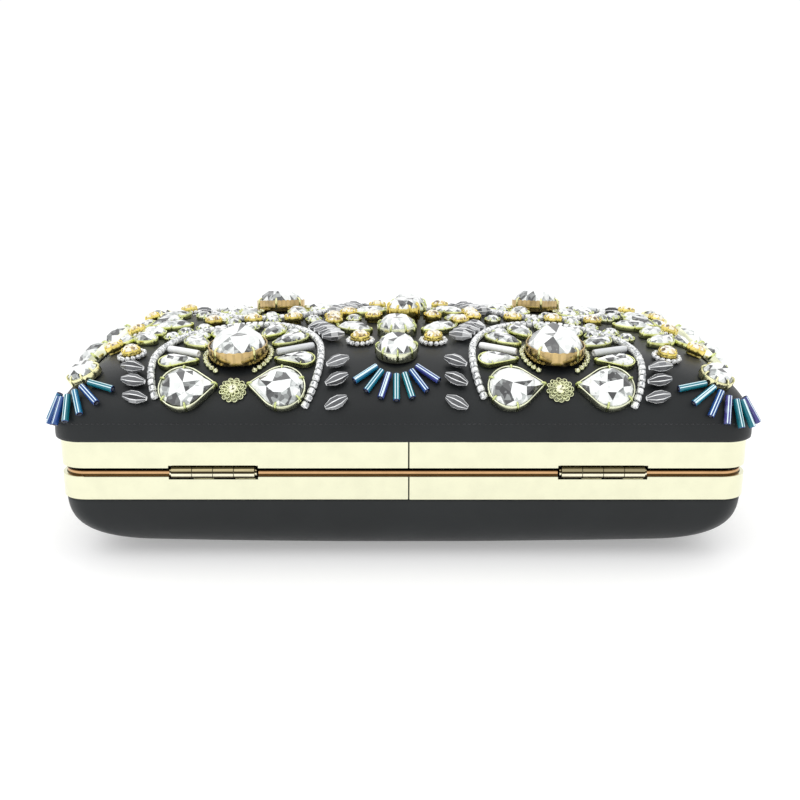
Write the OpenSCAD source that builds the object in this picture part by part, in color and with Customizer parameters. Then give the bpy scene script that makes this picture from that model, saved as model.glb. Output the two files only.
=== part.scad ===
// Hard-cased evening clutch: a domed base and a jewelled domed lid, both covered in black
// satin, on two pale gold frame bands. Two knuckle hinges join the bands at the back and a
// push button with a spring catch holds them at the front.
// The hinge side faces -Y, the clasp side +Y, and the case rests on the plane z = 0.

/* [Frame bands] */
// Length of the bands
frame_length = 200; // [190:1:230]
// Width of the bands, from hinge side to clasp side
frame_width = 108; // [102:1:124]
// Corner radius of the bands seen from above
frame_corner = 8; // [7:0.5:11]
// Thickness of the band metal
band_wall = 1.2; // [1:0.1:1.5]
// Height of the lid's band
lid_band_height = 8; // [7:0.5:11]
// Height of the base's band
base_band_height = 7; // [6.8:0.1:10]
// Open gap between the two closed bands
band_gap = 2.5; // [2.2:0.1:3]
// Width of the butt seam in each band
seam_width = 0.25; // [0.15:0.05:0.5]
// Place of the butt seams, right of the middle
seam_offset = 1.5; // [0:0.5:10]
// Thickness of the inner rim that stands in the gap
lip_wall = 0.8; // [0.6:0.1:1]
// Height of the rim's top over the middle of the gap
lip_rise = 0.15; // [0:0.05:0.3]
// How far the inner rim reaches below the middle of the gap
lip_depth = 7.5; // [6:0.1:8]

/* [Domes] */
// Height of the lid's shoulder over the middle of the gap
lid_shoulder = 29; // [26:0.5:36]
// Depth of the base's shoulder under the middle of the gap
base_shoulder = 24.3; // [22:0.1:30]
// Width of the lid's rounded shoulder seen from above
lid_shoulder_width = 22; // [18:1:26]
// Width of the base's rounded shoulder seen from above
base_shoulder_width = 14; // [12:1:18]
// Rise of the crowned top over the shoulder
crown = 4.8; // [3:0.1:6]
// How much of the base's crown is cut off by the flat that it rests on
rest_flat = 0.45; // [0.3:0.05:0.6]
// Roundness of the shoulders, where 2 is an ellipse
shoulder_power = 2.25; // [2:0.05:2.8]
// How far the lid's padded satin stands out past its band
lid_overhang = 1.4; // [0.8:0.1:2]
// How far the base's satin is set in from its band
base_inset = 0.5; // [0.2:0.1:0.8]
// Corner radius of the domes at the shoulder, seen from above
shoulder_corner = 20; // [16:1:26]

/* [Case walls] */
// Thickness of the satin and its wadding on the crown
cover_wall = 1.5; // [1:0.1:2]
// Thickness of the pressed shell
shell_wall = 1.2; // [1:0.1:1.5]
// Thickness of the lining
lining_wall = 0.8; // [0.6:0.1:1]
// Glue line between one layer and the next
glue_line = 0.05; // [0.04:0.01:0.08]

/* [Hinges] */
// Distance from a hinge's middle to the near end of the bands
hinge_from_end = 44; // [35:1:55]
// Shift of both hinges to the right of the middle
hinge_shift = 1.3; // [0:0.1:3]
// Length of a hinge
hinge_length = 24; // [20:1:30]
// Outer radius of a knuckle
knuckle_radius = 1.85; // [1.75:0.05:1.95]
// Number of knuckles in a hinge
knuckles = 4; // [4:2:6]
// Gap between one knuckle and the next
knuckle_gap = 0.15; // [0.1:0.05:0.3]
// Radius of a hinge pin
pin_radius = 0.7; // [0.5:0.05:0.9]
// Running clearance round a hinge pin
pin_clearance = 0.05; // [0.03:0.01:0.08]
// Radius of the peened pin heads
pin_head_radius = 1.1; // [1:0.05:1.4]
// Thickness of the peened pin heads
pin_head = 0.5; // [0.3:0.1:0.6]
// Depth of the hinge axis behind the face of the bands
hinge_inset = 0.8; // [0.7:0.05:0.9]
// Thickness of a hinge leaf
leaf_wall = 0.9; // [0.7:0.1:1]
// How far a leaf reaches from the axis
leaf_reach = 7; // [5:0.5:7]
// Clearance of the notches round the knuckles
notch_clearance = 0.3; // [0.2:0.05:0.4]

/* [Clasp] */
// Radius of the push button's head
button_radius = 2.7; // [2.3:0.1:2.9]
// Thickness of the push button's head
button_head = 1.6; // [1:0.1:2.4]
// Travel of the push button
button_travel = 1.2; // [0.8:0.1:1.4]
// Radius of the push button's stem
stem_radius = 1.6; // [1.3:0.1:1.7]
// Running clearance of the stem in its bush
stem_clearance = 0.05; // [0.03:0.01:0.08]
// Wall of the bush round the stem
bush_wall = 0.6; // [0.4:0.1:0.7]
// Thickness of the bush's flange
bush_flange = 0.6; // [0.4:0.1:0.8]
// Width of the striker on the lid
striker_width = 10; // [8:1:12]
// Thickness of the striker
striker_wall = 0.7; // [0.5:0.1:0.8]
// Width of the catch spring
catch_width = 8; // [6:1:9]
// Thickness of the catch spring
catch_wall = 0.4; // [0.3:0.05:0.5]
// Width of the catch box inside the case
catch_box_width = 14; // [13:1:20]
// Depth of the catch box below the middle of the gap
catch_box_depth = 13; // [12:0.5:14]
// Thickness of the catch box
catch_box_wall = 0.55; // [0.4:0.05:0.7]
// Radius of the two rivets in the catch spring's foot
rivet_radius = 0.8; // [0.6:0.1:1]
// Working gap between the clasp's parts
catch_gap = 0.3; // [0.25:0.05:0.4]

/* [Jewel pattern] */
// Distance of the peacock motifs from the ends of the bands
peacock_from_end = 53.5; // [50:0.5:55]
// Shift of the hand-set pattern along the case
pattern_shift = -2; // [-3:0.5:0]
// Half width of the bead arch of a peacock motif
arch_half_width = 24.4; // [24.3:0.1:25]
// Height of the widest place of the arch up the dome from the band
arch_waist = 24; // [23:0.5:25]
// Distance from the top of the arch to the line along the middle of the crown
arch_from_crown = 5.6; // [5:0.2:7]
// Drop of the arch below its widest place
arch_drop = 28; // [27:0.5:29]
// Angle at which the arch ends, below its widest place
arch_end = 32; // [28:1:34]
// Height of the fan gems up the dome from the band
fan_height = 28; // [27:0.5:29]
// Height of the second gem over each long side's fan
upper_gem_height = 48; // [47:0.5:49]
// Height of the gems of the corner fans up the dome
corner_fan_height = 16.5; // [16.5:0.5:18]
// How far the corner fans stand out of the corner's middle, towards the ends of the case
corner_fan_out = 1; // [0:0.5:2]
// Angle by which the corner fans lean towards the long sides
corner_lean = 32; // [26:1:34]
// Height of the drops up the dome from the band
drop_height = 30.5; // [30:0.5:31]
// Height of the lower pears and the rosette up the dome
foot_height = 13.5; // [13:0.5:14]
// How far the bugle beads' rays start below the gem of a long side's fan
fan_root_drop = 2.6; // [2:0.2:3]
// Angle by which the oval beads point upwards, away from their motif
oval_turn = 28; // [20:1:32]
// Least gap between one jewel and the next
jewel_gap = 0.5; // [0.4:0.1:0.6]
// Pitch of the row of stones along the middle of the crown
crown_pitch = 6.6; // [6.4:0.2:8]

/* [Jewels] */
// Width of the large drop crystals
drop_width = 16.5; // [15:0.5:16.5]
// Length of the large drop crystals
drop_length = 22; // [20:0.5:22]
// Width of the pear crystals
pear_width = 12.5; // [11:0.5:13]
// Length of the pear crystals
pear_length = 15.6; // [14:0.2:15.8]
// Width of the side drops
side_drop_width = 5.5; // [4.5:0.5:6]
// Length of the side drops
side_drop_length = 11; // [9:0.5:11]
// Width of the navette crystals
navette_width = 6; // [5:0.5:6]
// Length of the navette crystals
navette_length = 12.5; // [11:0.5:12.5]
// Diameter of the fan gems
fan_gem = 11.5; // [10:0.5:12]
// Diameter of the corner fans' gems
corner_gem = 9; // [8:0.5:9]
// Diameter of the amber studs
stud_gem = 4.8; // [4:0.2:5]
// Height of the galleries under the amber studs
stud_lift = 1.2; // [0.8:0.1:1.4]
// Diameter of the small round crystals
round_gem = 4.4; // [3.6:0.2:4.8]
// Diameter of the medallion's stone
medallion_gem = 10; // [8:0.5:11]
// Height of the gallery under the medallion's stone
medallion_lift = 2.5; // [1.5:0.5:3]
// Diameter of the seed beads
seed_bead = 2.2; // [1.8:0.1:2.4]
// Diameter of the oval beads
oval_bead = 3.8; // [3.2:0.1:4]
// Length of the oval beads
oval_length = 7; // [6:0.5:7.5]
// Diameter of the bugle beads
bugle_bead = 2; // [1.6:0.1:2.2]
// Length of the bugle beads
bugle_length = 8.5; // [7:0.5:9]
// Length of the frosted bars beside the drops
bar_length = 11.5; // [9:0.5:11.5]
// Thickness of the frosted bars
bar_size = 2.2; // [1.8:0.1:2.4]
// Number of bugle beads in a long side's fan
fan_bugles = 7; // [3:2:7]
// Number of bugle beads in a corner fan
corner_bugles = 7; // [3:2:7]
// Diameter of the stones in the chain round a drop
chain_stone = 1.6; // [1.2:0.1:1.8]
// Diameter of a rosette
rosette_size = 8.6; // [7.6:0.2:8.8]
// Wall of the metal cups that hold the crystals
cup_wall = 0.4; // [0.3:0.05:0.5]
// Clearance between a crystal and its cup
cup_clearance = 0.06; // [0.04:0.01:0.1]
// Gap between a jewel's back and the satin at its middle
seat_gap = 0.08; // [0.05:0.01:0.15]

/* [Hidden] */

$fn = 48;
overrun = 1;
sides = [-1, 1];

half_length = frame_length / 2;
half_width = frame_width / 2;
half_gap = band_gap / 2;
gap_z = base_shoulder + crown - rest_flat;
lid_band_top = half_gap + lid_band_height;
base_band_foot = half_gap + base_band_height;

// Facets of the domes: cuts of a corner, a long side and a short side, and rings of a shoulder.
corner_cuts = 5;
long_cuts = 7;
short_cuts = 4;
shoulder_rings = 7;
crown_ring_shares = [0.72, 0.47, 0.24];

// A ring of a dome is [inset from the band's face, height over the gap, corner radius].
function swell(k, rings) = 1 - pow(cos(90 * k / rings), 2 / shoulder_power);
function climb(k, rings) = pow(sin(90 * k / rings), 2 / shoulder_power);
function dome_rings(edge_in, edge_h, top_in, top_h, rings = shoulder_rings) = [
    for (k = [0:rings]) let (out = swell(k, rings))
        [edge_in + (top_in - edge_in) * out,
         edge_h + (top_h - edge_h) * climb(k, rings),
         (frame_corner - edge_in) * (1 - out) + shoulder_corner * out]];
function skirt_ring(inset, height) = [inset, height, frame_corner - inset];

function crown_share(at, half) = max(0, 1 - pow(at / half, 2));
function crown_rise(x, y) = crown * crown_share(x, half_length) * crown_share(y, half_width);
function corner_point(inset, r, q, a) =
    let (sx = q < 2 ? 1 : -1, sy = q == 1 || q == 2 ? 1 : -1)
    [sx * (half_length - inset - r) + r * cos(a), sy * (half_width - inset - r) + r * sin(a)];
function plan_ring(inset, r) = [
    for (q = [0:3])
        let (cuts = q % 2 == 0 ? short_cuts : long_cuts,
             last = corner_point(inset, r, q, 90 * q),
             next = corner_point(inset, r, (q + 1) % 4, 90 * q))
        each concat(
            [for (i = [0:corner_cuts]) corner_point(inset, r, q, 90 * (q - 1 + i / corner_cuts))],
            [for (j = [1:cuts - 1]) last + (next - last) * j / cuts])];
function lift(points, height, ceiling) = [
    for (p = points) [p.x, p.y, min(height + crown_rise(p.x, p.y), ceiling)]];
function skin_points(rings, ceiling) =
    let (top = rings[len(rings) - 1], top_plan = plan_ring(top[0], top[2]))
    concat(
        [for (g = rings) each lift(plan_ring(g[0], g[2]), g[1], ceiling)],
        [for (share = crown_ring_shares) each lift(top_plan * share, top[1], ceiling)],
        lift([[0, 0]], top[1], ceiling));

// Triangles of one surface of rows x around points closed by one apex, seen from outside.
function surface_faces(first, rows, around) = concat(
    [for (k = [0:rows - 2], i = [0:around - 1])
        let (a = first + k * around + i, b = first + k * around + (i + 1) % around)
        each [[a, a + around, b + around], [a, b + around, b]]],
    [for (i = [0:around - 1])
        [first + (rows - 1) * around + i, first + rows * around,
         first + (rows - 1) * around + (i + 1) % around]]);
function flipped(faces) = [for (f = faces) [f[0], f[2], f[1]]];

// A dome with an outer and an inner surface. Its free edge is at the first ring of each.
module dome_skin(outer, inner, outer_ceiling, inner_ceiling) {
    around = len(plan_ring(0, frame_corner));
    outer_rows = len(outer) + len(crown_ring_shares);
    inner_rows = len(inner) + len(crown_ring_shares);
    inner_first = outer_rows * around + 1;
    rim = [for (i = [0:around - 1])
        let (j = (i + 1) % around)
        each [[i, j, inner_first + j], [i, inner_first + j, inner_first + i]]];
    polyhedron(
        points = concat(skin_points(outer, outer_ceiling), skin_points(inner, inner_ceiling)),
        faces = concat(
            surface_faces(0, outer_rows, around),
            flipped(surface_faces(inner_first, inner_rows, around)),
            rim));
}

// Layers of the lid, from the satin inwards. Each entry is [edge inset, shoulder height].
shell_edge = band_wall + 2 * glue_line;
lining_edge = shell_edge + shell_wall + glue_line;
lid_cover_foot = lid_band_top + glue_line;
lid_shell_top = lid_shoulder - cover_wall - glue_line;
lid_lining_top = lid_shell_top - shell_wall - glue_line;
lid_shell_foot = half_gap + 0.2 * band_wall;
lid_lining_foot = half_gap + glue_line;
no_ceiling = frame_length;
fold_rise = 0.5 * lid_overhang;

lid_dome_foot = lid_cover_foot + 2 * fold_rise;
lid_dome = dome_rings(-lid_overhang, lid_dome_foot, lid_shoulder_width, lid_shoulder);
lid_fold = [
    skirt_ring(0, lid_cover_foot),
    skirt_ring(-0.7 * lid_overhang, lid_cover_foot + 0.5 * fold_rise)];

module lid_cover() color("dimgray") translate([0, 0, gap_z])
    dome_skin(
        concat(lid_fold, lid_dome),
        dome_rings(shell_edge - glue_line, lid_cover_foot, lid_shoulder_width, lid_shoulder - cover_wall),
        no_ceiling, no_ceiling);

module lid_shell() color("gray") difference() {
    translate([0, 0, gap_z]) dome_skin(
        concat([skirt_ring(shell_edge, lid_shell_foot)],
            dome_rings(shell_edge, lid_cover_foot, lid_shoulder_width, lid_shell_top)),
        concat([skirt_ring(shell_edge + shell_wall, lid_shell_foot)],
            dome_rings(shell_edge + shell_wall, lid_cover_foot, lid_shoulder_width,
                lid_shell_top - shell_wall)),
        no_ceiling, no_ceiling);
    each_hinge() leaf_room(1);
    striker_room();
}

module lid_lining() color("black") translate([0, 0, gap_z])
    dome_skin(
        concat([skirt_ring(lining_edge, lid_lining_foot)],
            dome_rings(lining_edge, lid_cover_foot, lid_shoulder_width, lid_lining_top)),
        concat([skirt_ring(lining_edge + lining_wall, lid_lining_foot)],
            dome_rings(lining_edge + lining_wall, lid_cover_foot, lid_shoulder_width,
                lid_lining_top - lining_wall)),
        no_ceiling, no_ceiling);

// Layers of the base, which are drawn upwards and turned over.
base_cover_foot = base_band_foot + glue_line;
rim_inner = band_wall + 2 * glue_line + lip_wall;
base_skirt = rim_inner + 2 * glue_line;
base_shell_foot = half_gap + 0.8 * band_wall;
base_lining_skirt = base_skirt + shell_wall + glue_line;
base_lining_foot = half_gap + 0.3 * band_wall;
base_joggle_low = base_band_foot - 0.5 * band_wall;
base_shell_top = base_shoulder - cover_wall / 2 - glue_line;
base_lining_top = base_shell_top - shell_wall - glue_line;
base_ceiling = gap_z;

module base_dome(outer, inner, outer_ceiling, inner_ceiling)
    translate([0, 0, gap_z]) mirror([0, 0, 1]) dome_skin(outer, inner, outer_ceiling, inner_ceiling);

module base_cover() color("dimgray")
    base_dome(
        dome_rings(base_inset, base_cover_foot, base_shoulder_width, base_shoulder),
        dome_rings(shell_edge - glue_line, base_cover_foot, base_shoulder_width,
            base_shoulder - cover_wall / 2),
        base_ceiling, base_ceiling - cover_wall / 2);

module base_shell() color("gray") difference() {
    base_dome(
        concat(
            [skirt_ring(base_skirt, base_shell_foot), skirt_ring(base_skirt, base_joggle_low)],
            dome_rings(shell_edge, base_cover_foot, base_shoulder_width, base_shell_top)),
        concat(
            [skirt_ring(base_skirt + shell_wall, base_shell_foot),
             skirt_ring(base_skirt + shell_wall, base_joggle_low + shell_wall / 2)],
            dome_rings(shell_edge + shell_wall, base_cover_foot + shell_wall, base_shoulder_width,
                base_shell_top - shell_wall)),
        base_ceiling - cover_wall / 2 - glue_line,
        base_ceiling - cover_wall / 2 - glue_line - shell_wall);
    catch_room();
}

module base_lining() color("black") difference() {
    base_dome(
        concat(
            [skirt_ring(base_lining_skirt, base_lining_foot),
             skirt_ring(base_lining_skirt, base_joggle_low + shell_wall / 2)],
            dome_rings(lining_edge, base_cover_foot + shell_wall, base_shoulder_width, base_lining_top)),
        concat(
            [skirt_ring(base_lining_skirt + lining_wall, base_lining_foot),
             skirt_ring(base_lining_skirt + lining_wall, base_joggle_low + shell_wall / 2)],
            dome_rings(lining_edge + lining_wall, base_cover_foot + shell_wall + lining_wall,
                base_shoulder_width, base_lining_top - lining_wall)),
        base_ceiling - cover_wall / 2 - 2 * glue_line - shell_wall,
        base_ceiling - cover_wall / 2 - 2 * glue_line - shell_wall - lining_wall);
    catch_room();
}

// Outline of the bands, set in from their face.
module plan(inset) {
    r = frame_corner - inset;
    x = half_length - frame_corner;
    y = half_width - frame_corner;
    square([2 * (x + r), 2 * y], center = true);
    square([2 * x, 2 * (y + r)], center = true);
    for (sx = sides, sy = sides) translate([sx * x, sy * y]) circle(r);
}

module hoop(inset, wall, low, high)
    translate([0, 0, gap_z + low]) linear_extrude(high - low) difference() {
        plan(inset);
        plan(inset + wall);
    }

// Butt seam on the hinge side, a slit nearly through the band.
module seam(low, high)
    translate([seam_offset - seam_width / 2, -half_width - overrun, gap_z + low - overrun])
        cube([seam_width, overrun + band_wall / 2, high - low + 2 * overrun]);

module lid_band() color("palegoldenrod") difference() {
    hoop(0, band_wall, half_gap, lid_band_top);
    seam(half_gap, lid_band_top);
    each_hinge() barrel_notch();
}

module base_band() color("palegoldenrod") difference() {
    hoop(0, band_wall, -base_band_foot, -half_gap);
    seam(-base_band_foot, -half_gap);
    each_hinge() barrel_notch();
    at_clasp() translate([0, 0, -overrun])
        cylinder(r = bush_radius + glue_line, h = band_wall + 2 * overrun);
}

module base_inner_rim() color("lightyellow") difference() {
    hoop(band_wall + glue_line, lip_wall, -lip_depth, lip_rise);
    each_hinge() leaf_room(-1);
    striker_room();
    catch_room();
}

// Hinges. A hinge's own place is its axis, at its middle.
knuckle_pitch = hinge_length / knuckles;
knuckle_length = knuckle_pitch - knuckle_gap;
axis_y = hinge_inset - half_width;
leaf_near = band_wall + glue_line - hinge_inset;
leaf_start = knuckle_radius + 2 * notch_clearance;
hinge_room = hinge_length + 2 * (pin_head + notch_clearance);

module at_hinge(side)
    translate([side * (half_length - hinge_from_end) + hinge_shift, axis_y, gap_z]) children();

module each_hinge() for (side = sides) at_hinge(side) children();

module barrel_notch() rotate([0, 90, 0])
    cylinder(r = knuckle_radius + notch_clearance, h = hinge_room, center = true);

// Room behind the bands for a leaf, upwards for way 1 and downwards for way -1.
module leaf_room(way)
    translate([-hinge_room / 2, leaf_near - glue_line - overrun, way > 0 ? -overrun : -leaf_reach - overrun])
        cube([hinge_room, leaf_wall + 2 * glue_line + overrun + shell_room(way), leaf_reach + 2 * overrun]);
function shell_room(way) = way > 0 ? shell_wall - leaf_wall + glue_line : glue_line;

module leaf(way, first) difference() {
    union() {
        for (k = [first:2:knuckles - 1]) translate([(k - (knuckles - 1) / 2) * knuckle_pitch, 0, 0]) {
            rotate([0, 90, 0]) cylinder(r = knuckle_radius, h = knuckle_length, center = true);
            translate([-knuckle_length / 2, leaf_near, way > 0 ? 0 : -leaf_start])
                cube([knuckle_length, leaf_wall, leaf_start]);
        }
        translate([-hinge_length / 2, leaf_near, way > 0 ? leaf_start : -leaf_reach])
            cube([hinge_length, leaf_wall, leaf_reach - leaf_start]);
    }
    rotate([0, 90, 0]) cylinder(r = pin_radius + pin_clearance, h = hinge_length + overrun, center = true);
}

module hinge_pin() {
    rotate([0, 90, 0]) cylinder(r = pin_radius, h = hinge_length + pin_head, center = true);
    for (side = sides) translate([side * (hinge_length + pin_head) / 2, 0, 0])
        rotate([0, 90, 0]) cylinder(r = pin_head_radius, h = pin_head, center = true);
}

module left_hinge_base_leaf() color("gold") at_hinge(-1) leaf(-1, 1);
module right_hinge_base_leaf() color("gold") at_hinge(1) leaf(-1, 1);
module left_hinge_lid_leaf() color("gold") at_hinge(-1) leaf(1, 0);
module right_hinge_lid_leaf() color("gold") at_hinge(1) leaf(1, 0);
module left_hinge_pin() color("goldenrod") at_hinge(-1) hinge_pin();
module right_hinge_pin() color("goldenrod") at_hinge(1) hinge_pin();

// Clasp. Places are insets from the face of the base's band, and heights over the gap's middle.
button_drop = half_gap + base_band_height / 2;
bush_radius = stem_radius + stem_clearance + bush_wall;
bush_end = band_wall + catch_gap / 2;
clip_radius = stem_radius + catch_gap;
clip_wall = striker_wall;
head_back = -bush_flange - button_travel - catch_gap;
striker_in = band_wall + glue_line;
hook_in = striker_in + striker_wall - catch_wall / 2;
hook_low = clip_radius + catch_gap - button_drop;
hook_top = hook_low + striker_wall;
nose_low = hook_top + catch_gap;
catch_in = hook_in + 2 * striker_wall + 2 * catch_gap;
catch_foot = button_travel + 2 * rivet_radius + catch_gap;
catch_foot_in = catch_in + catch_wall + catch_foot;
stem_end = catch_in - catch_gap;
box_in = hook_in + striker_wall;
box_back_in = catch_foot_in + catch_gap / 2 + catch_box_wall;
foot_low = catch_box_wall + glue_line - catch_box_depth;
rivet_in = catch_foot_in - 1.5 * rivet_radius;
rivet_head = 0.5 * catch_wall;

module at_clasp() translate([0, half_width, gap_z - button_drop]) rotate([90, 0, 0]) children();

// A block of the clasp, from inset a to inset b and from z0 to z1 over the gap's middle.
module slab(width, a, b, z0, z1)
    translate([-width / 2, half_width - b, gap_z + z0]) cube([width, b - a, z1 - z0]);

module catch_room()
    slab(catch_box_width + 2 * catch_gap, band_wall + glue_line / 2, box_back_in + overrun,
        -catch_box_depth - 2 * catch_gap, lid_band_top);

module striker_room()
    slab(striker_width + 2 * catch_gap, band_wall + glue_line / 2, lining_edge - glue_line / 2,
        -half_gap, lid_band_top);

module rivet_shafts(r)
    for (side = sides) translate([side * catch_width / 4, half_width - rivet_in, gap_z - catch_box_depth])
        cylinder(r = r, h = catch_box_wall + glue_line + catch_wall);

module catch_box() color("goldenrod") difference() {
    slab(catch_box_width, box_in, box_back_in, -catch_box_depth, -base_lining_foot);
    slab(catch_box_width - 2 * catch_box_wall, box_in - overrun, box_back_in - catch_box_wall,
        catch_box_wall - catch_box_depth, overrun);
    rivet_shafts(rivet_radius + glue_line);
}

module catch_spring() color("silver") difference() {
    union() {
        slab(catch_width, catch_in, catch_in + catch_wall, foot_low, nose_low + striker_wall);
        slab(catch_width, catch_in, catch_foot_in, foot_low, foot_low + catch_wall);
        slab(catch_width, catch_in - striker_wall - catch_gap, catch_in + catch_wall / 2,
            nose_low, nose_low + striker_wall);
    }
    rivet_shafts(rivet_radius + glue_line);
}

module catch_rivets() color("silver") {
    rivet_shafts(rivet_radius);
    for (side = sides, end = [-1, 1])
        translate([side * catch_width / 4, half_width - rivet_in,
                gap_z - catch_box_depth + (end < 0 ? -rivet_head : catch_box_wall + glue_line + catch_wall)])
            cylinder(r = 1.4 * rivet_radius, h = rivet_head);
}

module button_bush() color("gold") at_clasp() difference() {
    translate([0, 0, -bush_flange]) {
        cylinder(r = bush_radius + bush_wall, h = bush_flange - glue_line);
        cylinder(r = bush_radius, h = bush_flange + bush_end);
    }
    translate([0, 0, -bush_flange - overrun])
        cylinder(r = stem_radius + stem_clearance, h = bush_flange + bush_end + 2 * overrun);
}

module push_button() color("gold") at_clasp() {
    translate([0, 0, head_back - button_head]) cylinder(r = button_radius, h = button_head);
    translate([0, 0, head_back - button_head / 2])
        cylinder(r = stem_radius, h = stem_end - head_back + button_head / 2);
}

module button_clip() color("silver") at_clasp() translate([0, 0, bush_end + glue_line]) difference() {
    cylinder(r = clip_radius, h = clip_wall);
    translate([0, 0, -overrun]) cylinder(r = stem_radius + glue_line / 2, h = clip_wall + 2 * overrun);
}

module lid_striker() color("silver") {
    slab(striker_width, striker_in, striker_in + striker_wall, half_gap, lid_band_top - glue_line);
    slab(striker_width, hook_in, hook_in + striker_wall, hook_low, half_gap + striker_wall);
    slab(striker_width, hook_in, hook_in + 2 * striker_wall, hook_low, hook_top);
}

// Places on the lid's satin. A jewel lies at u along the case and v up the dome from its edge,
// both measured on the surface, and stands square to it.
climb_steps = 60;
probe = 0.2;
lid_climb = dome_rings(-lid_overhang, lid_dome_foot, lid_shoulder_width, lid_shoulder, climb_steps);
climb_run = run([for (g = lid_climb) [g[0], g[1]]]);
climb_length = climb_run[climb_steps][0];
lid_middle = climb_length + half_width - lid_shoulder_width;
peacock_place = half_length - peacock_from_end;

// Lengths run along a list of points, as pairs of length and index.
function step_from(points, i) = i + 1 < len(points) ? norm(points[i + 1] - points[i]) : 0;
function run(points) = [
    for (i = 0, d = 0; i < len(points); d = d + step_from(points, i), i = i + 1) [d, i]];
function leg(points, table, d) = min(floor(lookup(d, table)), len(points) - 2);
function walk(points, table, d) =
    let (k = lookup(d, table), i = leg(points, table, d)) points[i] + (points[i + 1] - points[i]) * (k - i);
function column(place, i) = [place[0][i], place[1][i], place[2][i]];

function lid_point(u, v, along, across, corner) =
    let (g = walk(lid_climb, climb_run, min(v, climb_length)),
         r = g[2],
         straight = along - g[0] - r,
         w = u + corner * (straight + r * PI / 4),
         over = max(0, abs(w) - straight),
         turn = min(90, over / r * 180 / PI),
         past = max(0, over - r * PI / 2),
         inward = max(0, v - climb_length) * (corner == 0 ? [0, 1] : [-corner, 1] / sqrt(2)),
         x = sign(w) * (min(abs(w), straight) + r * sin(turn)) + inward.x,
         y = past + g[0] + r - across - r * cos(turn) + inward.y)
    [x, y, gap_z + g[1] + crown * crown_share(x, along) * crown_share(y, across)];
function unit(a) = a / norm(a);
function lid_place(u, v, along, across, corner) =
    let (p = lid_point(u, v, along, across, corner),
         next = lid_point(u + probe, v, along, across, corner),
         last = lid_point(u - probe, v, along, across, corner),
         higher = lid_point(u, v + probe, along, across, corner),
         lower = lid_point(u, v - probe, along, across, corner),
         x = unit(next - last),
         up = higher - lower,
         z = unit(cross(x, up)),
         y = cross(z, x))
    [[x.x, y.x, z.x, p.x], [x.y, y.y, z.y, p.y], [x.z, y.z, z.z, p.z], [0, 0, 0, 1]];

module seat(u, v, turn = 0)
    multmatrix(lid_place($mid + u, v, $along, $across, $corner)) translate([0, 0, seat_gap])
        rotate([0, 0, turn]) children();

function on_lid(p) = lid_point($mid + p.x, p.y, $along, $across, $corner);

// A jewel in the middle between two [u, v] places, with its +X along the way from one to the other.
module lay(from, to) {
    p = (from + to) / 2;
    way = on_lid(to) - on_lid(from);
    place = lid_place($mid + p.x, p.y, $along, $across, $corner);
    seat(p.x, p.y, atan2(column(place, 1) * way, column(place, 0) * way)) children();
}

// Small jewels in a row along a path of [u, v] places, evenly spaced on the satin itself.
module row_on(path, pitch) {
    table = run([for (p = path) on_lid(p)]);
    row_length = table[len(table) - 1][0];
    for (k = [0:floor(row_length / pitch) - 1])
        lay(walk(path, table, k * pitch), walk(path, table, k * pitch + probe)) children();
}

module each_long_side() for (back = [0, 1]) rotate([0, 0, 180 * back])
    let ($along = half_length, $across = half_width, $corner = 0, $mid = pattern_shift) children();

module each_peacock() for (side = sides) each_long_side()
    let ($mid = side * peacock_place + pattern_shift, $inner = -side) children();

module each_end() for (side = sides) rotate([0, 0, 90 * side])
    let ($along = half_width, $across = half_length, $corner = 0, $mid = 0) children();

module each_corner() for (back = [0, 1], side = sides) rotate([0, 0, 180 * back])
    let ($along = half_length, $across = half_width, $corner = side, $mid = pattern_shift) children();

module lid_centre(u) let ($along = half_length, $across = half_width, $corner = 0, $mid = 0)
    seat(u, lid_middle) children();

// The pears and the rosette of a peacock motif's foot also stand on each end of the case.
module each_foot() {
    each_peacock() children();
    each_end() children();
}

// The gems of the long sides' fans, with a second one over each, and those of the corner fans.
module each_fan_gem() each_long_side() for (height = [fan_height, upper_gem_height])
    seat(0, height) children();
module each_corner_gem() each_corner() seat($corner * corner_fan_out, corner_fan_height) children();

// The fans' rays of beads start from $root, past a gem of the width $gem.
module each_fan() {
    each_long_side() let ($root = [0, fan_height - fan_root_drop], $gem = fan_gem,
        $bugles = fan_bugles, $spread = fan_spread) children();
    each_corner() let ($root = [$corner * corner_fan_out, corner_fan_height], $gem = corner_gem,
        $bugles = corner_bugles, $spread = corner_spread) children();
}

// Jewels. A jewel's own place is the middle of its back, with +Z away from the satin.
facets = 9;
girdle_share = 0.32;
crystal_levels_shares = [[0.72, 0], [1, girdle_share], [1, 0.42], [0.86, 0.72], [0.55, 1]];
round_levels_shares = [[0, 0], [0.62, 0], [1, 0.16], [1, 0.22], [0.58, 0.46], [0, 0.46]];
cup_share = 0.5;

// A pear outline is a circle with two tangents that meet in its tip, towards +Y.
function pear_reach(width, length) = length - width / 2;
function pear_slope(width, length) = asin(width / 2 / pear_reach(width, length));
function pear_centre(width, length) = (width - length) / 2;
module pear_flat(width, length, grow) {
    slope = pear_slope(width, length);
    r = width / 2 + grow;
    translate([0, pear_centre(width, length)]) {
        circle(r);
        polygon([[0, r / sin(slope)], [-r * cos(slope), r * sin(slope)],
                 [0, 0], [r * cos(slope), r * sin(slope)]]);
    }
}
function pear_outline(width, length) =
    let (slope = pear_slope(width, length), r = width / 2, y = pear_centre(width, length))
    concat([[0, length / 2]],
        [for (i = [0:facets])
            let (a = 180 - slope + i * (180 + 2 * slope) / facets) [r * cos(a), y + r * sin(a)]]);

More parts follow.
